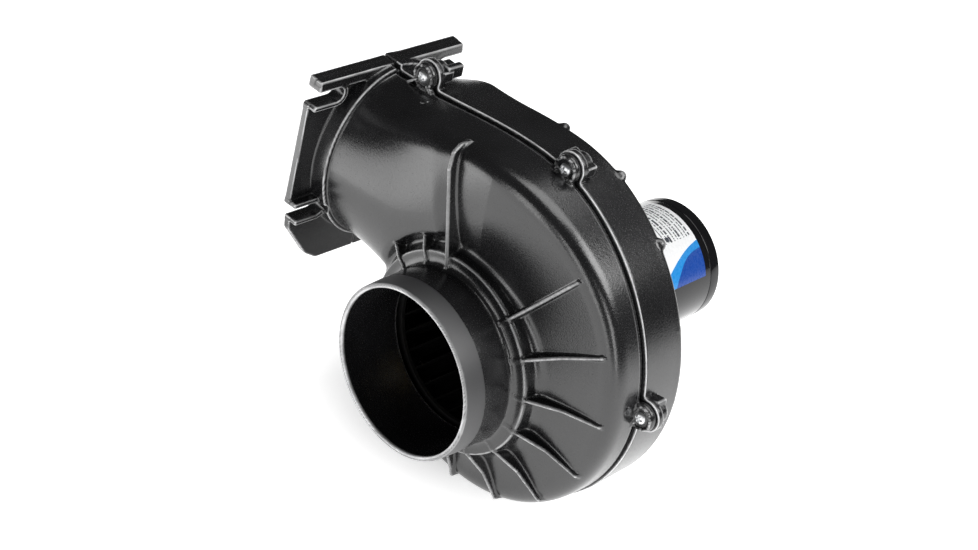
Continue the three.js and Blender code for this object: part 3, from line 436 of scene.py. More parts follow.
def housing_field(p, front):
    """Negative inside the plastic of one half."""
    shape, body = outer_field(p, front)
    radius = np.hypot(p[0], p[2])
    land = 0.0 if front else SEAM_LAND * (1 - ease((p[1] - 2.0) / 3.0))
    inside = np.minimum(body + WALL + land, np.maximum(body + WALL, radius - WHEEL_ROOM))
    cavity = both(inside, round_face(radius + 1.2) + WALL - p[1])
    shape = both(shape, -cavity, 0.8)
    bore = both(radius - SPIGOT_INNER, p[1] - (FACE_Y + WALL + 1))
    shape = both(shape, -bore, 1.2)
    duct_bore = both(duct_field(p) + WALL + land, FLANGE_X - 2 - p[0])
    duct_bore = both(duct_bore, p[0] - (FLANGE_X + COLLAR_END + 4))
    shape = both(shape, -duct_bore, 1.0)
    shape = both(shape, -both(slot_field(p), p[0] - (FLANGE_X + COLLAR_END)), 0.8)
    for x, z in boss_places():
        shape = both(shape, -disc(p, x, z, SCREW_HOLE), 0.5)
        if not front:
            recess = both(disc(p, x, z, NUT_RECESS), between(p[1], NUT_FLOOR, NUT_ROOM))
            shape = both(shape, -recess, 0.5)
    if front:
        return both(shape, p[1] + SEAM_GAP, 0.9)
    shape = both(shape, -disc(p, 0, 0, SHAFT_HOLE), 0.8)
    return both(shape, SEAM_GAP - p[1], 1.2)


# ---- Drawing a mesh over a field ----
def near_blocks(field, low, high, block):
    """Corners of the blocks that the surface may pass through."""
    counts = np.ceil((high - low) / block).astype(int)
    index = np.stack(np.meshgrid(*[np.arange(n) for n in counts], indexing="ij"), -1).reshape(-1, 3)
    centre = low + (index + 0.5) * block
    value = field(centre.T)
    return index[np.abs(value) < block * 1.35]


def field_on_grid(field, low, high, cell, per_block=6):
    """Field values on a regular grid, worked out only near the surface."""
    block = cell * per_block
    size = (np.ceil((high - low) / block).astype(int)) * per_block + 1
    grid = np.full(size, 9.0, np.float32)
    blocks = near_blocks(field, low, high, block)
    steps = np.arange(per_block + 1)
    local = np.stack(np.meshgrid(steps, steps, steps, indexing="ij"), -1).reshape(-1, 3)
    known = np.zeros(size, bool)
    for chunk in np.array_split(blocks, max(1, len(blocks) // 900)):
        index = (chunk[:, None, :] * per_block + local[None]).reshape(-1, 3)
        value = field((low + index * cell).T)
        grid[index[:, 0], index[:, 1], index[:, 2]] = value
        known[index[:, 0], index[:, 1], index[:, 2]] = True
    return grid, known


def draw_surface(field, low, high, cell):
    """Vertices and quads over field = 0: one vertex in each cell that the surface passes through."""
    low, high = np.array(low, float), np.array(high, float)
    grid, known = field_on_grid(field, low, high, cell)
    inside = grid < 0
    shape = np.array(grid.shape) - 1
    count = np.zeros(shape, np.int8)
    whole = np.ones(shape, bool)
    total = np.zeros((*shape, 3), np.float32)
    crossings = np.zeros(shape, np.int8)
    corner = [(i, j, k) for i in (0, 1) for j in (0, 1) for k in (0, 1)]
    views = {c: tuple(slice(c[a], c[a] + shape[a]) for a in range(3)) for c in corner}
    for c in corner:
        count += inside[views[c]]
        whole &= known[views[c]]
    for axis in range(3):
        for c in corner:
            if c[axis]:
                continue
            d = tuple(1 if a == axis else c[a] for a in range(3))
            a_value, b_value = grid[views[c]], grid[views[d]]
            cross = inside[views[c]] != inside[views[d]]
            t = np.where(cross, a_value / np.where(cross, a_value - b_value, 1), 0)
            for a in range(3):
                total[..., a] += np.where(cross, c[a] + (t if a == axis else 0), 0)
            crossings += cross
    active = (count > 0) & (count < 8) & whole
    number = np.full(shape, -1)
    number[active] = np.arange(active.sum())
    cells = np.argwhere(active)
    points = low + (cells + total[active] / crossings[active][:, None]) * cell
    quads = []
    for axis in range(3):
        u, v = [a for a in range(3) if a != axis]
        lo = [slice(1, None)] * 3
        lo[axis] = slice(0, -1)
        first = inside[tuple(slice(0, -1) if a == axis else slice(1, -1) for a in range(3))]
        second = inside[tuple(slice(1, None) if a == axis else slice(1, -1) for a in range(3))]
        edges = np.argwhere(first != second)
        flip = first[tuple(edges.T)]
        base = edges.copy()
        base[:, u] += 1
        base[:, v] += 1
        around = []
        for du, dv in ((-1, -1), (0, -1), (0, 0), (-1, 0)):
            at = base.copy()
            at[:, u] += du
            at[:, v] += dv
            around.append(number[tuple(at.T)])
        quad = np.stack(around, 1)
        turned = flip if axis != 1 else ~flip
        quad[~turned] = quad[~turned][:, ::-1]
        quads.append(quad[(quad >= 0).all(1)])
    return points, np.concatenate(quads)


def gradient(field, points, step=0.05):
    out = np.empty_like(points)
    for axis in range(3):
        ahead, behind = points.copy(), points.copy()
        ahead[:, axis] += step
        behind[:, axis] -= step
        out[:, axis] = (field(ahead.T) - field(behind.T)) / (2 * step)
    return out


def settle(field, points, cell, rounds=3):
    """Moves the vertices onto the surface itself."""
    start = points.copy()
    for _ in range(rounds):
        slope = gradient(field, points)
        steepness = np.maximum((slope**2).sum(1), 0.05)
        step = slope * (field(points.T) / steepness)[:, None]
        length = np.linalg.norm(step, axis=1, keepdims=True)
        points = points - step * np.minimum(1, 0.4 * cell / np.maximum(length, 1e-9))
    drift = points - start
    length = np.linalg.norm(drift, axis=1, keepdims=True)
    return start + drift * np.minimum(1, 0.9 * cell / np.maximum(length, 1e-9))


def edge_highlight_amount(field, points, reach=0.7):
    """Painted highlight at each vertex, from how sharply the surface turns outward there: 0 where it is flat,
    1 at a crisp edge.

    Edges beside the seam count for little, because the bead carries the painted highlight there, and the
    inner corner of the spigot's mouth always counts in full, as a painted highlight along its rim."""
    slope = gradient(field, points)
    normal = slope / np.maximum(np.linalg.norm(slope, axis=1, keepdims=True), 1e-9)
    first = np.cross(normal, np.where(np.abs(normal[:, 1:2]) < 0.9, [[0.0, 1.0, 0.0]], [[1.0, 0.0, 0.0]]))
    first /= np.linalg.norm(first, axis=1, keepdims=True)
    second = np.cross(normal, first)
    rise = sum(field((points + reach * way).T) for way in (first, -first, second, -second))
    edge_highlight = np.clip((rise / reach - 0.25) / 0.6, 0, 1)
    beside_seam = (points[:, 1] > -4.0) & (points[:, 1] < 2.2)
    edge_highlight = np.where(beside_seam, edge_highlight * 0.15, edge_highlight)
    radius = np.hypot(points[:, 0], points[:, 2])
    mouth = np.clip(1.5 - np.abs(radius - SPIGOT_INNER - 0.4), 0, 1)
    mouth *= np.clip(SPIGOT_RIM_Y + 1.8 - points[:, 1], 0, 1)
    return np.maximum(edge_highlight, mouth)


def mouth_band(points):
    """True on the outside of the spigot's taper, which has a rougher finish and a greyer colour painted there
    as a reflection.
    """
    radius = np.hypot(points[:, 0], points[:, 2])
    outside = (radius > SPIGOT_INNER + 1.9) & (radius < SPIGOT_OUTER + 2)
    return outside & (points[:, 1] < SPIGOT_RIM_Y + LEAD_IN)


def mark_vertices(mesh, name, values):
    """Keeps a value at each vertex under a name, for a material to read."""
    mark = mesh.attributes.new(name, "FLOAT", "POINT")
    mark.data.foreach_set("value", values.astype(np.float32))


def field_piece(name, field, low, high):
    """A smooth mesh over field = 0 between two corners, marked where its plastic gets a painted edge
    highlight and where it is rougher with a painted reflection.
    """
    cell = CELL * 1.0
    points, quads = draw_surface(field, low, high, cell)
    points = settle(field, points, cell)
    mesh = bpy.data.meshes.new(name)
    mesh.from_pydata(((points + SHIFT) * MM).tolist(), [], quads.tolist())
    mark_vertices(mesh, "edge_highlight", edge_highlight_amount(field, points))
    mark_vertices(mesh, "rough_painted_sheen", mouth_band(points))
    mesh.validate()
    mesh.polygons.foreach_set("use_smooth", [True] * len(mesh.polygons))
    slope = gradient(field, points, 0.12)
    slope /= np.maximum(np.linalg.norm(slope, axis=1, keepdims=True), 1e-9)
    mesh.normals_split_custom_set_from_vertices(slope.tolist())
    piece = bpy.data.objects.new(name, mesh)
    bpy.context.collection.objects.link(piece)
    return piece


# ---- Mesh tools ----
def to_frame(x, y, z):
    """A point given in millimetres round the shaft, in metres in the CAD model's frame."""
    return Vector((x + SHIFT[0], y, z + SHIFT[2])) * MM


def finish_piece(name, mesh, smooth_angle=35):
    """An object from a bmesh, smooth except at edges sharper than smooth_angle degrees."""
    data = bpy.data.meshes.new(name)
    for face in mesh.faces:
        face.smooth = True
    for edge in mesh.edges:
        if len(edge.link_faces) == 2 and edge.calc_face_angle(0) > math.radians(smooth_angle):
            edge.smooth = False
    mesh.to_mesh(data)
    mesh.free()
    piece = bpy.data.objects.new(name, data)
    bpy.context.collection.objects.link(piece)
    return piece


def skin_tube(mesh, rings):
    """A closed tube through rings of vertices, with an end face at each end."""
    for a, b in zip(rings, rings[1:]):
        for i in range(len(a)):
            j = (i + 1) % len(a)
            mesh.faces.new([a[i], a[j], b[j], b[i]])
    for end in (rings[0], rings[-1]):
        mesh.faces.new(end)
    bmesh.ops.recalc_face_normals(mesh, faces=mesh.faces)


def turned_piece(name, profile, x=0.0, z=0.0, segments=96):
    """A body turned round a line along Y, from a closed profile of [radius, y] points."""
    mesh = bmesh.new()
    rings = []
    for radius, y in profile:
        if radius < 1e-6:
            rings.append([mesh.verts.new(to_frame(x, y, z))])
            continue
        ring = []
        for i in range(segments):
            turn = 2 * math.pi * i / segments
            spot = to_frame(x + radius * math.cos(turn), y, z + radius * math.sin(turn))
            ring.append(mesh.verts.new(spot))
        rings.append(ring)
    ends_on_axis = len(rings[0]) == 1 and len(rings[-1]) == 1
    pairs = list(zip(rings, rings[1:]))
    if not ends_on_axis:
        pairs.append((rings[-1], rings[0]))
    for a, b in pairs:
        for i in range(segments):
            j = (i + 1) % segments
            corners = [a[i % len(a)], a[j % len(a)], b[j % len(b)], b[i % len(b)]]
            mesh.faces.new(list(dict.fromkeys(corners)))
    bmesh.ops.recalc_face_normals(mesh, faces=mesh.faces)
    return finish_piece(name, mesh)


def rounded(profile, radius=0.5, steps=4):
    """The profile with each corner that isn't on the axis rounded."""
    out = []
    count = len(profile)
    for i, corner in enumerate(profile):
        here = Vector(corner)
        before, after = Vector(profile[i - 1]), Vector(profile[(i + 1) % count])
        if here.x < 1e-6:
            out.append(tuple(here))
            continue
        a, b = before - here, after - here
        reach = min(radius, a.length * 0.45, b.length * 0.45)
        first, last = here + a.normalized() * reach, here + b.normalized() * reach
        for k in range(steps + 1):
            t = k / steps
            out.append(tuple(first * (1 - t) ** 2 + here * 2 * t * (1 - t) + last * t * t))
    return out


# ---- Housing ----
def make_housing():
    """The two moulded halves, each drawn over a box with a little room round it."""
    left, right, bottom, top = FLANGE_X - 2, 125, -104, 139
    front = field_piece(
        "front_shell",
        lambda p: housing_field(p, True),
        (left, SPIGOT_RIM_Y - 2, bottom),
        (right, 3, top),
    )
    rear = field_piece(
        "rear_shell",
        lambda p: housing_field(p, False),
        (left, -3, bottom),
        (right, FLANGE_HALF_WIDTH + 6, top),
    )
    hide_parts("front_housing", "inlet_spigot", "flange_front")
    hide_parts("rear_housing", "flange_rear")
    return front, rear


def seam_path(y, step=1.1):
    """Points and outward directions along the rear half's rim at one y, from the flange's top round the
    scroll to the duct's underside."""

    def outline(points):
        return outer_field(points, False)[0]

    near = 0.05 * np.array([[0, 0, 0], [1, 0, 0], [-1, 0, 0], [0, 0, 1], [0, 0, -1]])
    start_x = FLANGE_X + FLANGE_DEPTH + 0.5
    heights = np.linspace(DUCT_Z + 40, FLANGE_TOP + 8, 400)
    column = np.stack([np.full_like(heights, start_x), np.full_like(heights, y), heights])
    point = np.array([start_x, y, heights[outline(column) < 0].max()])
    path = []
    end_x = FLANGE_X + COLLAR_END + 1.5
    while (point[2] > DUCT_Z or point[0] > end_x) and len(path) < 1500:
        for _ in range(2):
            value = outline((point + near).T)
            slope = np.array([value[1] - value[2], 0.0, value[3] - value[4]]) / (2 * near[1, 0])
            point = point - slope * np.clip(value[0] / (slope @ slope), -0.8, 0.8)
        outward = slope / np.linalg.norm(slope)
        path.append((point, outward))
        point = point + step * np.array([outward[2], 0.0, -outward[0]])
    return path


def make_rim_bead():
    """The crisp front corner of the rear half's rim, drawn as a fine bead along the seam and painted pale all
    over as a highlight line.
    """
    mesh = bmesh.new()
    sides = 8
    rings = []
    for point, outward in seam_path(BEAD_Y):
        ring = []
        for i in range(sides):
            turn = 2 * math.pi * i / sides
            out = BEAD_RADIUS * math.cos(turn) - BEAD_SINK
            y = BEAD_Y + BEAD_RADIUS * math.sin(turn)
            spot = to_frame(point[0] + outward[0] * out, y, point[2] + outward[2] * out)
            ring.append(mesh.verts.new(spot))
        rings.append(ring)
    skin_tube(mesh, rings)
    bead = finish_piece("rim_bead", mesh, 60)
    # the whole bead gets the full painted highlight
    mark_vertices(bead.data, "edge_highlight", np.ones(len(bead.data.vertices)))
    return bead


def make_marks():
    """Round marks that the mould left on the front half's wall, one near each boss in sight."""
    marks = []
    for i, place in enumerate(MARK_PLACES, 1):
        point = settle(body_field, np.array([place]), 4.0)
        outward = Vector(gradient(body_field, point)[0]).normalized()
        mesh = bmesh.new()
        bmesh.ops.create_cone(
            mesh, cap_ends=True, segments=40, radius1=MARK_FOOT, radius2=MARK_TOP, depth=MARK_HEIGHT
        )
        turn = outward.to_track_quat("Z", "Y").to_matrix().to_4x4()
        mesh.transform(Matrix.Translation(to_frame(*point[0])) @ Matrix.Scale(MM, 4) @ turn)
        marks.append(finish_piece(f"mould_mark_{i}", mesh))
    return marks


# ---- Motor ----
def make_motor():
    """The can and its two end caps, each turned from its own profile."""
    inner = CAN_RADIUS - CAN_WALL
    front, rear, end = MOTOR_FRONT, REAR_CAP_Y, MOTOR_END
    can = [(inner, front + 4), (CAN_RADIUS, front + 4), (CAN_RADIUS, rear), (inner, rear)]
    front_cap = [
        (BUSH_SEAT, front), (CAN_RADIUS, front), (CAN_RADIUS, front + 3.9), (CAP_SPIGOT, front + 3.9),
        (CAP_SPIGOT, front + 7), (13, front + 7), (13, front + 16), (BUSH_SEAT, front + 16),
    ]
    rear_cap = [
        (0, end - 0.9), (14, end - 0.9), (15.2, end), (CAN_RADIUS, end), (CAN_RADIUS, rear + 0.1),
        (CAP_SPIGOT, rear + 0.1), (CAP_SPIGOT, rear - 1), (12, rear - 1), (12, rear - 5),
        (BUSH_SEAT, rear - 5), (BUSH_SEAT, end - 2.6), (0, end - 2.6),
    ]
    for name, node, profile, rounding in (
        ("motor_body", "motor_can", can, 0.4),
        ("motor_mounting_cap", "motor_front_cap", front_cap, 0.6),
        ("motor_end_cap", "motor_rear_cap", rear_cap, 0.9),
    ):
        piece = turned_piece(name, rounded(profile, rounding), segments=160)
        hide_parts(node)
        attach(piece, "stator")
        piece.data.materials.append(MATERIALS["black_paint"])


def make_label():
    """A thin printed sheet round the upper side of the can."""
    mesh = bmesh.new()
    around, along = 64, 20
    grids = []
    for radius in (CAN_RADIUS + LABEL_OUTSIDE, CAN_RADIUS + LABEL_UNDERSIDE):
        grid = []
        for i in range(around + 1):
            turn = mix(*LABEL_ARC, i / around)
            x, z = radius * math.cos(turn), radius * math.sin(turn)
            depths = [mix(LABEL_FRONT, LABEL_REAR, j / along) for j in range(along + 1)]
            grid.append([mesh.verts.new(to_frame(x, y, z)) for y in depths])
        grids.append(grid)
    top, under = grids
    for i in range(around):
        for j in range(along):
            mesh.faces.new([top[i][j], top[i + 1][j], top[i + 1][j + 1], top[i][j + 1]])
            mesh.faces.new([under[i][j], under[i][j + 1], under[i + 1][j + 1], under[i + 1][j]])
        for j in (0, along):
            mesh.faces.new([top[i][j], under[i][j], under[i + 1][j], top[i + 1][j]])
    for j in range(along):
        for i in (0, around):
            mesh.faces.new([top[i][j], top[i][j + 1], under[i][j + 1], under[i][j]])
    bmesh.ops.recalc_face_normals(mesh, faces=mesh.faces)
    label = finish_piece("motor_label_sheet", mesh)
    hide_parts("motor_label")
    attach(label, "stator")
    label.data.materials.append(label_material())


def make_brush_spring(where, steps=32, sides=8):
    """A coil from a brush to the end of its holder."""
    node = f"brush_spring_{where}"
    low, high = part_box(node)
    middle = (low + high) / 2
    wire = SPRING_WIRE * MM
    radius = (high.x - low.x) / 2 - wire
    reach = (high.z - low.z) / 2 - wire
    mesh = bmesh.new()
    rings = []
    for i in range(SPRING_TURNS * steps + 1):
        turn = 2 * math.pi * i / steps
        out = Vector((math.cos(turn), math.sin(turn), 0))
        height = mix(-reach, reach, i / (SPRING_TURNS * steps))
        ring = []
        for k in range(sides):
            around = 2 * math.pi * k / sides
            spot = middle + out * (radius + wire * math.cos(around))
            spot.z += height + wire * math.sin(around)
            ring.append(mesh.verts.new(spot))
        rings.append(ring)
    skin_tube(mesh, rings)
    coil = finish_piece(f"brush_coil_{where}", mesh)
    coil.data.materials.append(MATERIALS["steel"])
    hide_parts(node)
    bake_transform(coil)


# ---- Housing screws ----
def pan_screw(name, y, x, z, radius, node):
    """Pan head with a cross recess, its underside at y; the shank is plain."""
    head = radius * 1.7
    rise, slot_long, slot_wide = 0.62 * head, 0.62 * head, 0.19 * head
    top = y - rise
    dome = [(head * math.sin(t), y - rise * math.cos(t)) for t in np.linspace(0.0, math.pi / 2, 9)]
    tip = y + SCREW_LENGTH
    profile = [(0.0, top + 0.02), *dome[1:], (radius, y), (radius, tip), (0.0, tip)]
    screw = turned_piece(name, profile, x, z, 40)
    cutter = bmesh.new()
    for wide, high in ((slot_long, slot_wide), (slot_wide, slot_long)):
        for vert in bmesh.ops.create_cube(cutter, size=1)["verts"]:
            corner = vert.co.copy()
            vert.co = to_frame(
                x + corner.x * 2 * wide,
                top + 0.2 + corner.y * 2.2,
                z + corner.z * 2 * high,
            )
    tool = finish_piece(name + "_tool", cutter)
    modifier = screw.modifiers.new("recess", "BOOLEAN")
    modifier.operation = "DIFFERENCE"
    modifier.object = tool
    modifier.solver = "EXACT"
    modifier.use_self = True
    bpy.context.view_layer.update()
    shape = bpy.data.meshes.new_from_object(screw.evaluated_get(bpy.context.evaluated_depsgraph_get()))
    screw.modifiers.clear()
    screw.data = shape
    bpy.data.objects.remove(tool)
    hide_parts(node)
    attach(screw, "stator")
    screw.data.materials.clear()
    screw.data.materials.append(MATERIALS["steel"])


def make_screws():
    for i, (x, z) in enumerate(boss_places(), 1):
        pan_screw(f"pan_screw_{i}", -BOSS_FRONT - 0.05, x, z, SCREW_RADIUS, f"housing_screw_{i}")


# ---- Material tools ----
def new_material(name, color, roughness, metallic=0.0):
    material = bpy.data.materials.new(name)
    material.use_nodes = True
    shader = material.node_tree.nodes["Principled BSDF"]
    shader.inputs["Base Color"].default_value = (*color, 1)
    shader.inputs["Roughness"].default_value = roughness
    shader.inputs["Metallic"].default_value = metallic
    return material, material.node_tree, shader


def feed(tree, socket, value):
    """Sets a socket to a number or a colour, or links another node's output to it."""
    if isinstance(value, bpy.types.NodeSocket):
        tree.links.new(value, socket)
    elif isinstance(value, tuple):
        socket.default_value = (*value, 1)
    else:
        socket.default_value = value


def noise(tree, scale, detail=3.0, rough=0.6):
    where = tree.nodes.new("ShaderNodeTexCoord")
    node = tree.nodes.new("ShaderNodeTexNoise")
    node.inputs["Scale"].default_value = scale
    node.inputs["Detail"].default_value = detail
    node.inputs["Roughness"].default_value = rough
    tree.links.new(where.outputs["Object"], node.inputs["Vector"])
    return node.outputs["Fac"]


def spread(tree, value, low, high, from_low=0.3, from_high=0.7):
    """Maps from_low..from_high to low..high, and holds it there beyond them."""
    node = tree.nodes.new("ShaderNodeMapRange")
    tree.links.new(value, node.inputs["Value"])
    node.inputs["From Min"].default_value = from_low
    node.inputs["From Max"].default_value = from_high
    node.inputs["To Min"].default_value = low
    node.inputs["To Max"].default_value = high
    return node.outputs["Result"]


def calc(tree, kind, a, b):
    """A Math node; a and b are numbers or other nodes' outputs."""
    node = tree.nodes.new("ShaderNodeMath")
    node.operation = kind
    feed(tree, node.inputs[0], a)
    feed(tree, node.inputs[1], b)
    return node.outputs[0]


def blend(tree, amount, a, b, kind="RGBA"):
    """a where amount is 0 and b where it is 1: colours by default, or numbers with kind FLOAT."""
    node = tree.nodes.new("ShaderNodeMix")
    node.data_type = kind
    feed(tree, node.inputs["Factor"], amount)
    feed(tree, node.inputs["A"], a)
    feed(tree, node.inputs["B"], b)
    return node.outputs["Result"]


def bump(tree, shader, value, strength, distance):
    node = tree.nodes.new("ShaderNodeBump")
    node.inputs["Strength"].default_value = strength
    node.inputs["Distance"].default_value = distance
    tree.links.new(value, node.inputs["Height"])
    tree.links.new(node.outputs["Normal"], shader.inputs["Normal"])


def marked(tree, name):
    """The value that mark_vertices kept on the mesh under a name."""
    node = tree.nodes.new("ShaderNodeAttribute")
    node.attribute_name = name
    return node.outputs["Fac"]


def repaint(tree, socket, amount, value, kind="RGBA"):
    """Blends what already feeds a socket toward a new value."""
    before = socket.links[0].from_socket
    tree.links.new(blend(tree, amount, before, value, kind), socket)


# ---- Materials ----
def moulded(name, dark, light, rough_low, rough_high, grain, specular=0.5):
    """Moulded or painted: fine grain, uneven gloss, and a colour that clouds from dark to light."""
    material, tree, shader = new_material(name, dark, rough_low)
    cloudy = spread(tree, noise(tree, 28, 4), 0, 1)
    tree.links.new(blend(tree, cloudy, dark, light), shader.inputs["Base Color"])
    speckle = spread(tree, noise(tree, 1400, 2), rough_low, rough_high)
    tree.links.new(speckle, shader.inputs["Roughness"])
    bump(tree, shader, noise(tree, 1100, 2), grain, 0.0002)
    shader.inputs["Specular IOR Level"].default_value = specular
    return material


def metal(name, color, pale, rough, grain=0.15):
    """Bare metal with a cloudy colour and fine scratches' worth of uneven gloss."""
    material, tree, shader = new_material(name, color, rough, 1.0)
    cloudy = spread(tree, noise(tree, 160, 4), 0, 1)
    tree.links.new(blend(tree, cloudy, color, pale), shader.inputs["Base Color"])
    tree.links.new(spread(tree, noise(tree, 700, 3), rough * 0.8, rough * 1.3), shader.inputs["Roughness"])
    bump(tree, shader, noise(tree, 900, 2), grain, 0.0001)
    return material


# darker and lighter colour, least and most roughness, depth of the grain, and strength of the gloss
MOULDED = {
    "housing_plastic": ((0.006, 0.006, 0.0065), (0.013, 0.013, 0.014), 0.15, 0.3, 0.35, 0.85),
    "impeller_plastic": ((0.003, 0.003, 0.003), (0.006, 0.006, 0.006), 0.5, 0.65, 0.2),
    "black_paint": ((0.006, 0.006, 0.007), (0.009, 0.009, 0.01), 0.07, 0.14, 0.04, 0.3),
    "ferrite": ((0.05, 0.05, 0.052), (0.08, 0.08, 0.082), 0.6, 0.8, 0.5),
    "phenolic": ((0.16, 0.075, 0.03), (0.22, 0.11, 0.05), 0.45, 0.6, 0.2),
    "carbon": ((0.03, 0.03, 0.032), (0.05, 0.05, 0.052), 0.45, 0.6, 0.4),
    "rubber": ((0.014, 0.014, 0.014), (0.022, 0.022, 0.022), 0.6, 0.8, 0.4),
    "nylon": ((0.72, 0.7, 0.64), (0.8, 0.78, 0.72), 0.4, 0.5, 0.1),
    "label": ((0.8, 0.81, 0.82), (0.86, 0.87, 0.88), 0.25, 0.35, 0.03),
}
# darker and paler colour, roughness, and depth of the grain
METALS = {
    "steel": ((0.78, 0.79, 0.8), (0.88, 0.89, 0.9), 0.36),
    "bronze": ((0.42, 0.29, 0.14), (0.52, 0.38, 0.2), 0.45),
    "brass": ((0.68, 0.5, 0.22), (0.76, 0.6, 0.3), 0.3),
    "copper": ((0.6, 0.28, 0.13), (0.7, 0.36, 0.2), 0.34),
    "lamination": ((0.34, 0.35, 0.36), (0.44, 0.45, 0.46), 0.42, 0.4),
}
MATERIALS = {name: moulded(name, *look) for name, look in MOULDED.items()}
MATERIALS.update({name: metal(name, *look) for name, look in METALS.items()})


def finish_housing_plastic():
    """The housing's plastic is rougher on the spigot's taper and painted greyer there as a reflection. It is
    painted pale at its corners as a highlight.
    """
    tree = MATERIALS["housing_plastic"].node_tree
    shader = tree.nodes["Principled BSDF"]
    rough_painted_sheen = marked(tree, "rough_painted_sheen")
    # painted reflection: the spigot's taper gets a greyer colour as well as a rougher finish
    repaint(tree, shader.inputs["Base Color"], rough_painted_sheen, (0.05, 0.05, 0.052))
    repaint(tree, shader.inputs["Roughness"], rough_painted_sheen, 0.5, "FLOAT")
    cloudy = spread(tree, noise(tree, 90, 4), 0.45, 1.0)
    # painted highlight: edges, the rim bead and the spigot's mouth are lightened toward near white
    edge_highlight = calc(tree, "MULTIPLY", marked(tree, "edge_highlight"), cloudy)
    repaint(tree, shader.inputs["Base Color"], edge_highlight, (0.97, 0.97, 0.98))


def label_material():
    """White film with a blue corner, a paler blue stripe and rows of plain grey bars in place of print."""
    material, tree, shader = new_material("label_print", (0.85, 0.86, 0.87), 0.28)
    place = tree.nodes.new("ShaderNodeTexCoord")
    split = tree.nodes.new("ShaderNodeSeparateXYZ")
    tree.links.new(place.outputs["Object"], split.inputs["Vector"])

    def times(a, b):
        return calc(tree, "MULTIPLY", a, b)

    def inside(value, low, high):
        return times(calc(tree, "GREATER_THAN", value, low), calc(tree, "LESS_THAN", value, high))

    def below_border(height, fall, bend, power):
        """1 below a curved border, which falls away toward the label's front."""
        drop = calc(tree, "ADD", times(back, fall), times(calc(tree, "POWER", back, power), bend))
        return calc(tree, "LESS_THAN", up, calc(tree, "SUBTRACT", height, drop))

    # millimetres forward from the label's rear edge, and up round the can from its lower edge
    x = calc(tree, "SUBTRACT", split.outputs["X"], float(SHIFT[0]) * MM)
    z = calc(tree, "SUBTRACT", split.outputs["Z"], float(SHIFT[2]) * MM)
    turn = calc(tree, "ARCTAN2", z, x)
    back = calc(tree, "SUBTRACT", LABEL_REAR, times(split.outputs["Y"], 1 / MM))
    up = times(calc(tree, "SUBTRACT", turn, LABEL_ARC[0]), CAN_RADIUS)

    pale = below_border(22.8, 0.15, 0.0088, 2.0)
    deep = below_border(18.0, 0.07, 0.0008, 3.0)

    # rows of bars, some of them heavier, each broken up as words would be
    row_pitch, bar_share, heavy_extra = 2.7, 0.3, 0.26
    line = times(back, 1 / row_pitch)
    row = calc(tree, "FLOOR", line, 0)
    heavy = calc(tree, "LESS_THAN", calc(tree, "FRACT", times(row, 0.29), 0), 0.3)
    thick = calc(tree, "ADD", times(heavy, heavy_extra), bar_share)
    bars = calc(tree, "LESS_THAN", calc(tree, "FRACT", line, 0), thick)
    words = tree.nodes.new("ShaderNodeTexNoise")
    words.noise_dimensions = "1D"
    words.inputs["Scale"].default_value = 1.0
    words.inputs["Detail"].default_value = 3.0
    tree.links.new(calc(tree, "ADD", times(row, 31.7), times(up, 0.7)), words.inputs["W"])
    broken = times(bars, calc(tree, "GREATER_THAN", words.outputs["Fac"], 0.44))
    ink = times(broken, times(inside(up, 27.0, 62.0), inside(back, 3.0, 25.0)))
    for start in (20.6, 27.0):
        square = times(inside(up, 28.0, 31.0), inside(back, start, start + 3.0))
        ink = calc(tree, "MAXIMUM", ink, square)

    cloudy = spread(tree, noise(tree, 60), 0, 1)
    colour = blend(tree, cloudy, (0.93, 0.94, 0.95), (0.97, 0.975, 0.98))
    colour = blend(tree, ink, colour, (0.05, 0.055, 0.07))
    colour = blend(tree, pale, colour, (0.02, 0.28, 0.72))
    colour = blend(tree, deep, colour, (0.012, 0.07, 0.36))
    tree.links.new(colour, shader.inputs["Base Color"])
    tree.links.new(spread(tree, noise(tree, 500), 0.22, 0.34), shader.inputs["Roughness"])
    return material


def dress_cad_nodes():
    """Every CAD node that stays gets its slot's material."""
    for row in frame["record"]["subparts"]:
        node = frame["nodes"][row["node"]]
        node.data.materials.clear()
        node.data.materials.append(MATERIALS[row["material_slot"]])


# ---- Studio ----
# soft panels round the object: heading in degrees, lowest and highest point, width, power
PANELS = {
    "front_left_panel": (-6, 0.02, 0.8, 0.4, 3.4),
    "front_right_panel": (22, 0.02, 0.8, 0.34, 3.0),
    "right_panel": (66, 0.1, 0.9, 0.4, 4),
}
# soft lights above: place from the middle of the object, size, power
LAMPS = {
    "overhead": ((0.1, 0.5, 1.7), 1.2, 14),
    "back_right": ((0.9, 0.5, 1.0), 0.7, 10),
}
PANEL_DISTANCE = 1.6
FLOOR_SIZE, FLOOR_GAP = 8, 0.002
CAMERA_PLACE = (0.63094, -0.66840, 0.55977)
CAMERA_AZIMUTH, CAMERA_ELEVATION, CAMERA_ROLL = 37.83, 34.654, -14.378  # degrees
CAMERA_LENS, CAMERA_SENSOR = 67.77, 36


def area_light(name, where, toward, size, power, size_y=None):
    data = bpy.data.lights.new(name, "AREA")
    data.energy = power
    data.size = size
    if size_y:
        data.shape = "RECTANGLE"
        data.size_y = size_y
    lamp = bpy.data.objects.new(name, data)
    bpy.context.collection.objects.link(lamp)
    lamp.location = where
    lamp.rotation_mode = "QUATERNION"
    lamp.rotation_quaternion = (Vector(toward) - Vector(where)).to_track_quat("-Z", "Y")


def panel(name, centre, heading, low, high, wide, power):
    """An upright soft light round the object, at a heading in degrees from the front toward the right."""
    turn = math.radians(heading)
    spot = centre + Vector((math.sin(turn), -math.cos(turn), 0)) * PANEL_DISTANCE
    spot.z = CAD_BOX[0].z + (low + high) / 2
    toward = Vector((centre.x, centre.y, spot.z))
    area_light(name, spot, toward, wide, power, high - low)


def measure(tree, kind, place, vector):
    """A dot product or a distance between a place and a fixed vector."""
    node = tree.nodes.new("ShaderNodeVectorMath")
    node.operation = kind
    node.inputs[1].default_value = vector
    tree.links.new(place, node.inputs[0])
    return node.outputs["Value"]


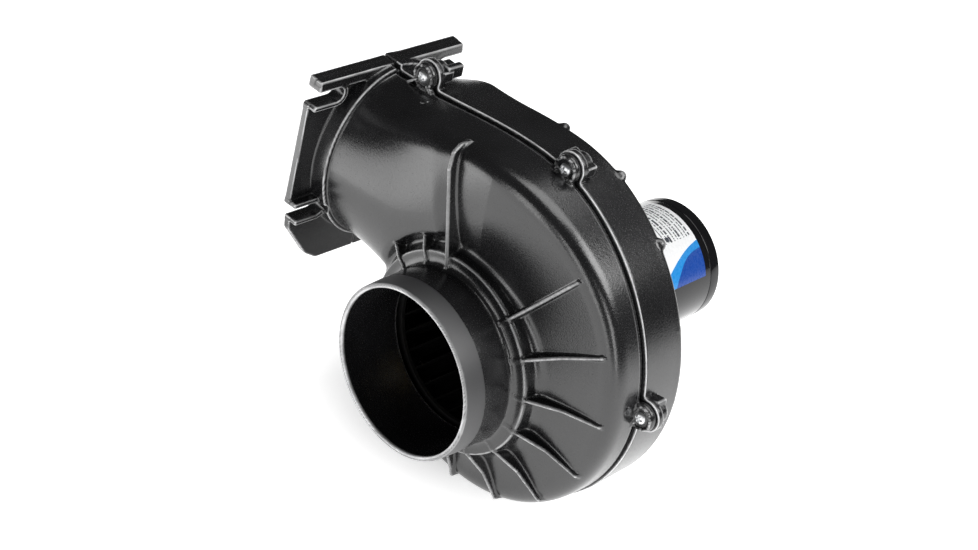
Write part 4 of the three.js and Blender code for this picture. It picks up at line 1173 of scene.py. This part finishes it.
def make_floor():
    """A pale glowing floor, with a painted pool of light to the left in front, where light would bounce, and
    a painted shadow under the object.
    """
    bpy.ops.mesh.primitive_plane_add(size=FLOOR_SIZE, location=(0, 0, CAD_BOX[0].z - FLOOR_GAP))
    floor = bpy.context.object
    floor.name = "floor"
    material, tree, shader = new_material("floor", (0.92, 0.92, 0.92), 0.9)
    shader.inputs["Emission Color"].default_value = (1, 1, 1, 1)
    place = tree.nodes.new("ShaderNodeTexCoord").outputs["Object"]
    ahead = measure(tree, "DOT_PRODUCT", place, (-0.7, -0.71, 0))
    across = measure(tree, "DOT_PRODUCT", place, (-0.852, 0.524, 0))
    painted_shadow_distance = measure(tree, "DISTANCE", place, (-FLANGE_X * MM - 0.05, 0.08, 0))
    # painted pool of light on the floor to the left in front
    painted_light_pool = calc(
        tree,
        "MULTIPLY",
        spread(tree, ahead, 0, 1.7, 0.22, 0.3),
        spread(tree, across, 0, 1, -0.125, -0.085),
    )
    # painted shadow: the floor's glow drops to 0.1 near a point under the object, plus the painted pool of
    # light
    painted_floor_light = calc(tree, "ADD", painted_light_pool, spread(tree, painted_shadow_distance, 0.1, 1.0, 0.06, 0.13))
    tree.links.new(painted_floor_light, shader.inputs["Emission Strength"])
    floor.data.materials.append(material)


def make_studio():
    scene = bpy.context.scene
    scene.view_settings.view_transform = "Standard"
    world = bpy.data.worlds.new("studio")
    scene.world = world
    world.use_nodes = True
    world.node_tree.nodes["Background"].inputs["Color"].default_value = (1, 1, 1, 1)
    world.node_tree.nodes["Background"].inputs["Strength"].default_value = 0.05
    centre = (CAD_BOX[0] + CAD_BOX[1]) / 2
    for name, (place, size, power) in LAMPS.items():
        area_light(name, centre + Vector(place), centre, size, power)
    for name, layout in PANELS.items():
        panel(name, centre, *layout)
    make_floor()


def make_camera():
    """At the photograph's viewing angle, rolled as the photograph is."""
    azimuth, elevation = math.radians(CAMERA_AZIMUTH), math.radians(CAMERA_ELEVATION)
    roll = math.radians(CAMERA_ROLL)
    forward = Vector((
        -math.sin(azimuth) * math.cos(elevation),
        math.cos(azimuth) * math.cos(elevation),
        -math.sin(elevation),
    ))
    right = forward.cross(Vector((0, 0, 1))).normalized()
    upright = right.cross(forward)
    up = upright * math.cos(roll) + right * math.sin(roll)
    side = forward.cross(up).normalized()
    data = bpy.data.cameras.new("camera")
    data.sensor_fit = "HORIZONTAL"
    data.sensor_width = CAMERA_SENSOR
    data.lens = CAMERA_LENS
    data.clip_start, data.clip_end = 0.05, 20
    camera = bpy.data.objects.new("camera", data)
    bpy.context.collection.objects.link(camera)
    camera.rotation_mode = "QUATERNION"
    camera.rotation_quaternion = Matrix((side, up, -forward)).transposed().to_quaternion()
    camera.location = CAMERA_PLACE
    bpy.context.scene.camera = camera


make_camera()
finish_housing_plastic()
dress_cad_nodes()
for moulding in (*make_housing(), make_rim_bead(), *make_marks()):
    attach(moulding, "stator")
    moulding.data.materials.append(MATERIALS["housing_plastic"])
make_motor()
make_label()
make_screws()
for side in ("top", "bottom"):
    make_brush_spring(side)
make_studio()

bpy.context.view_layer.update()
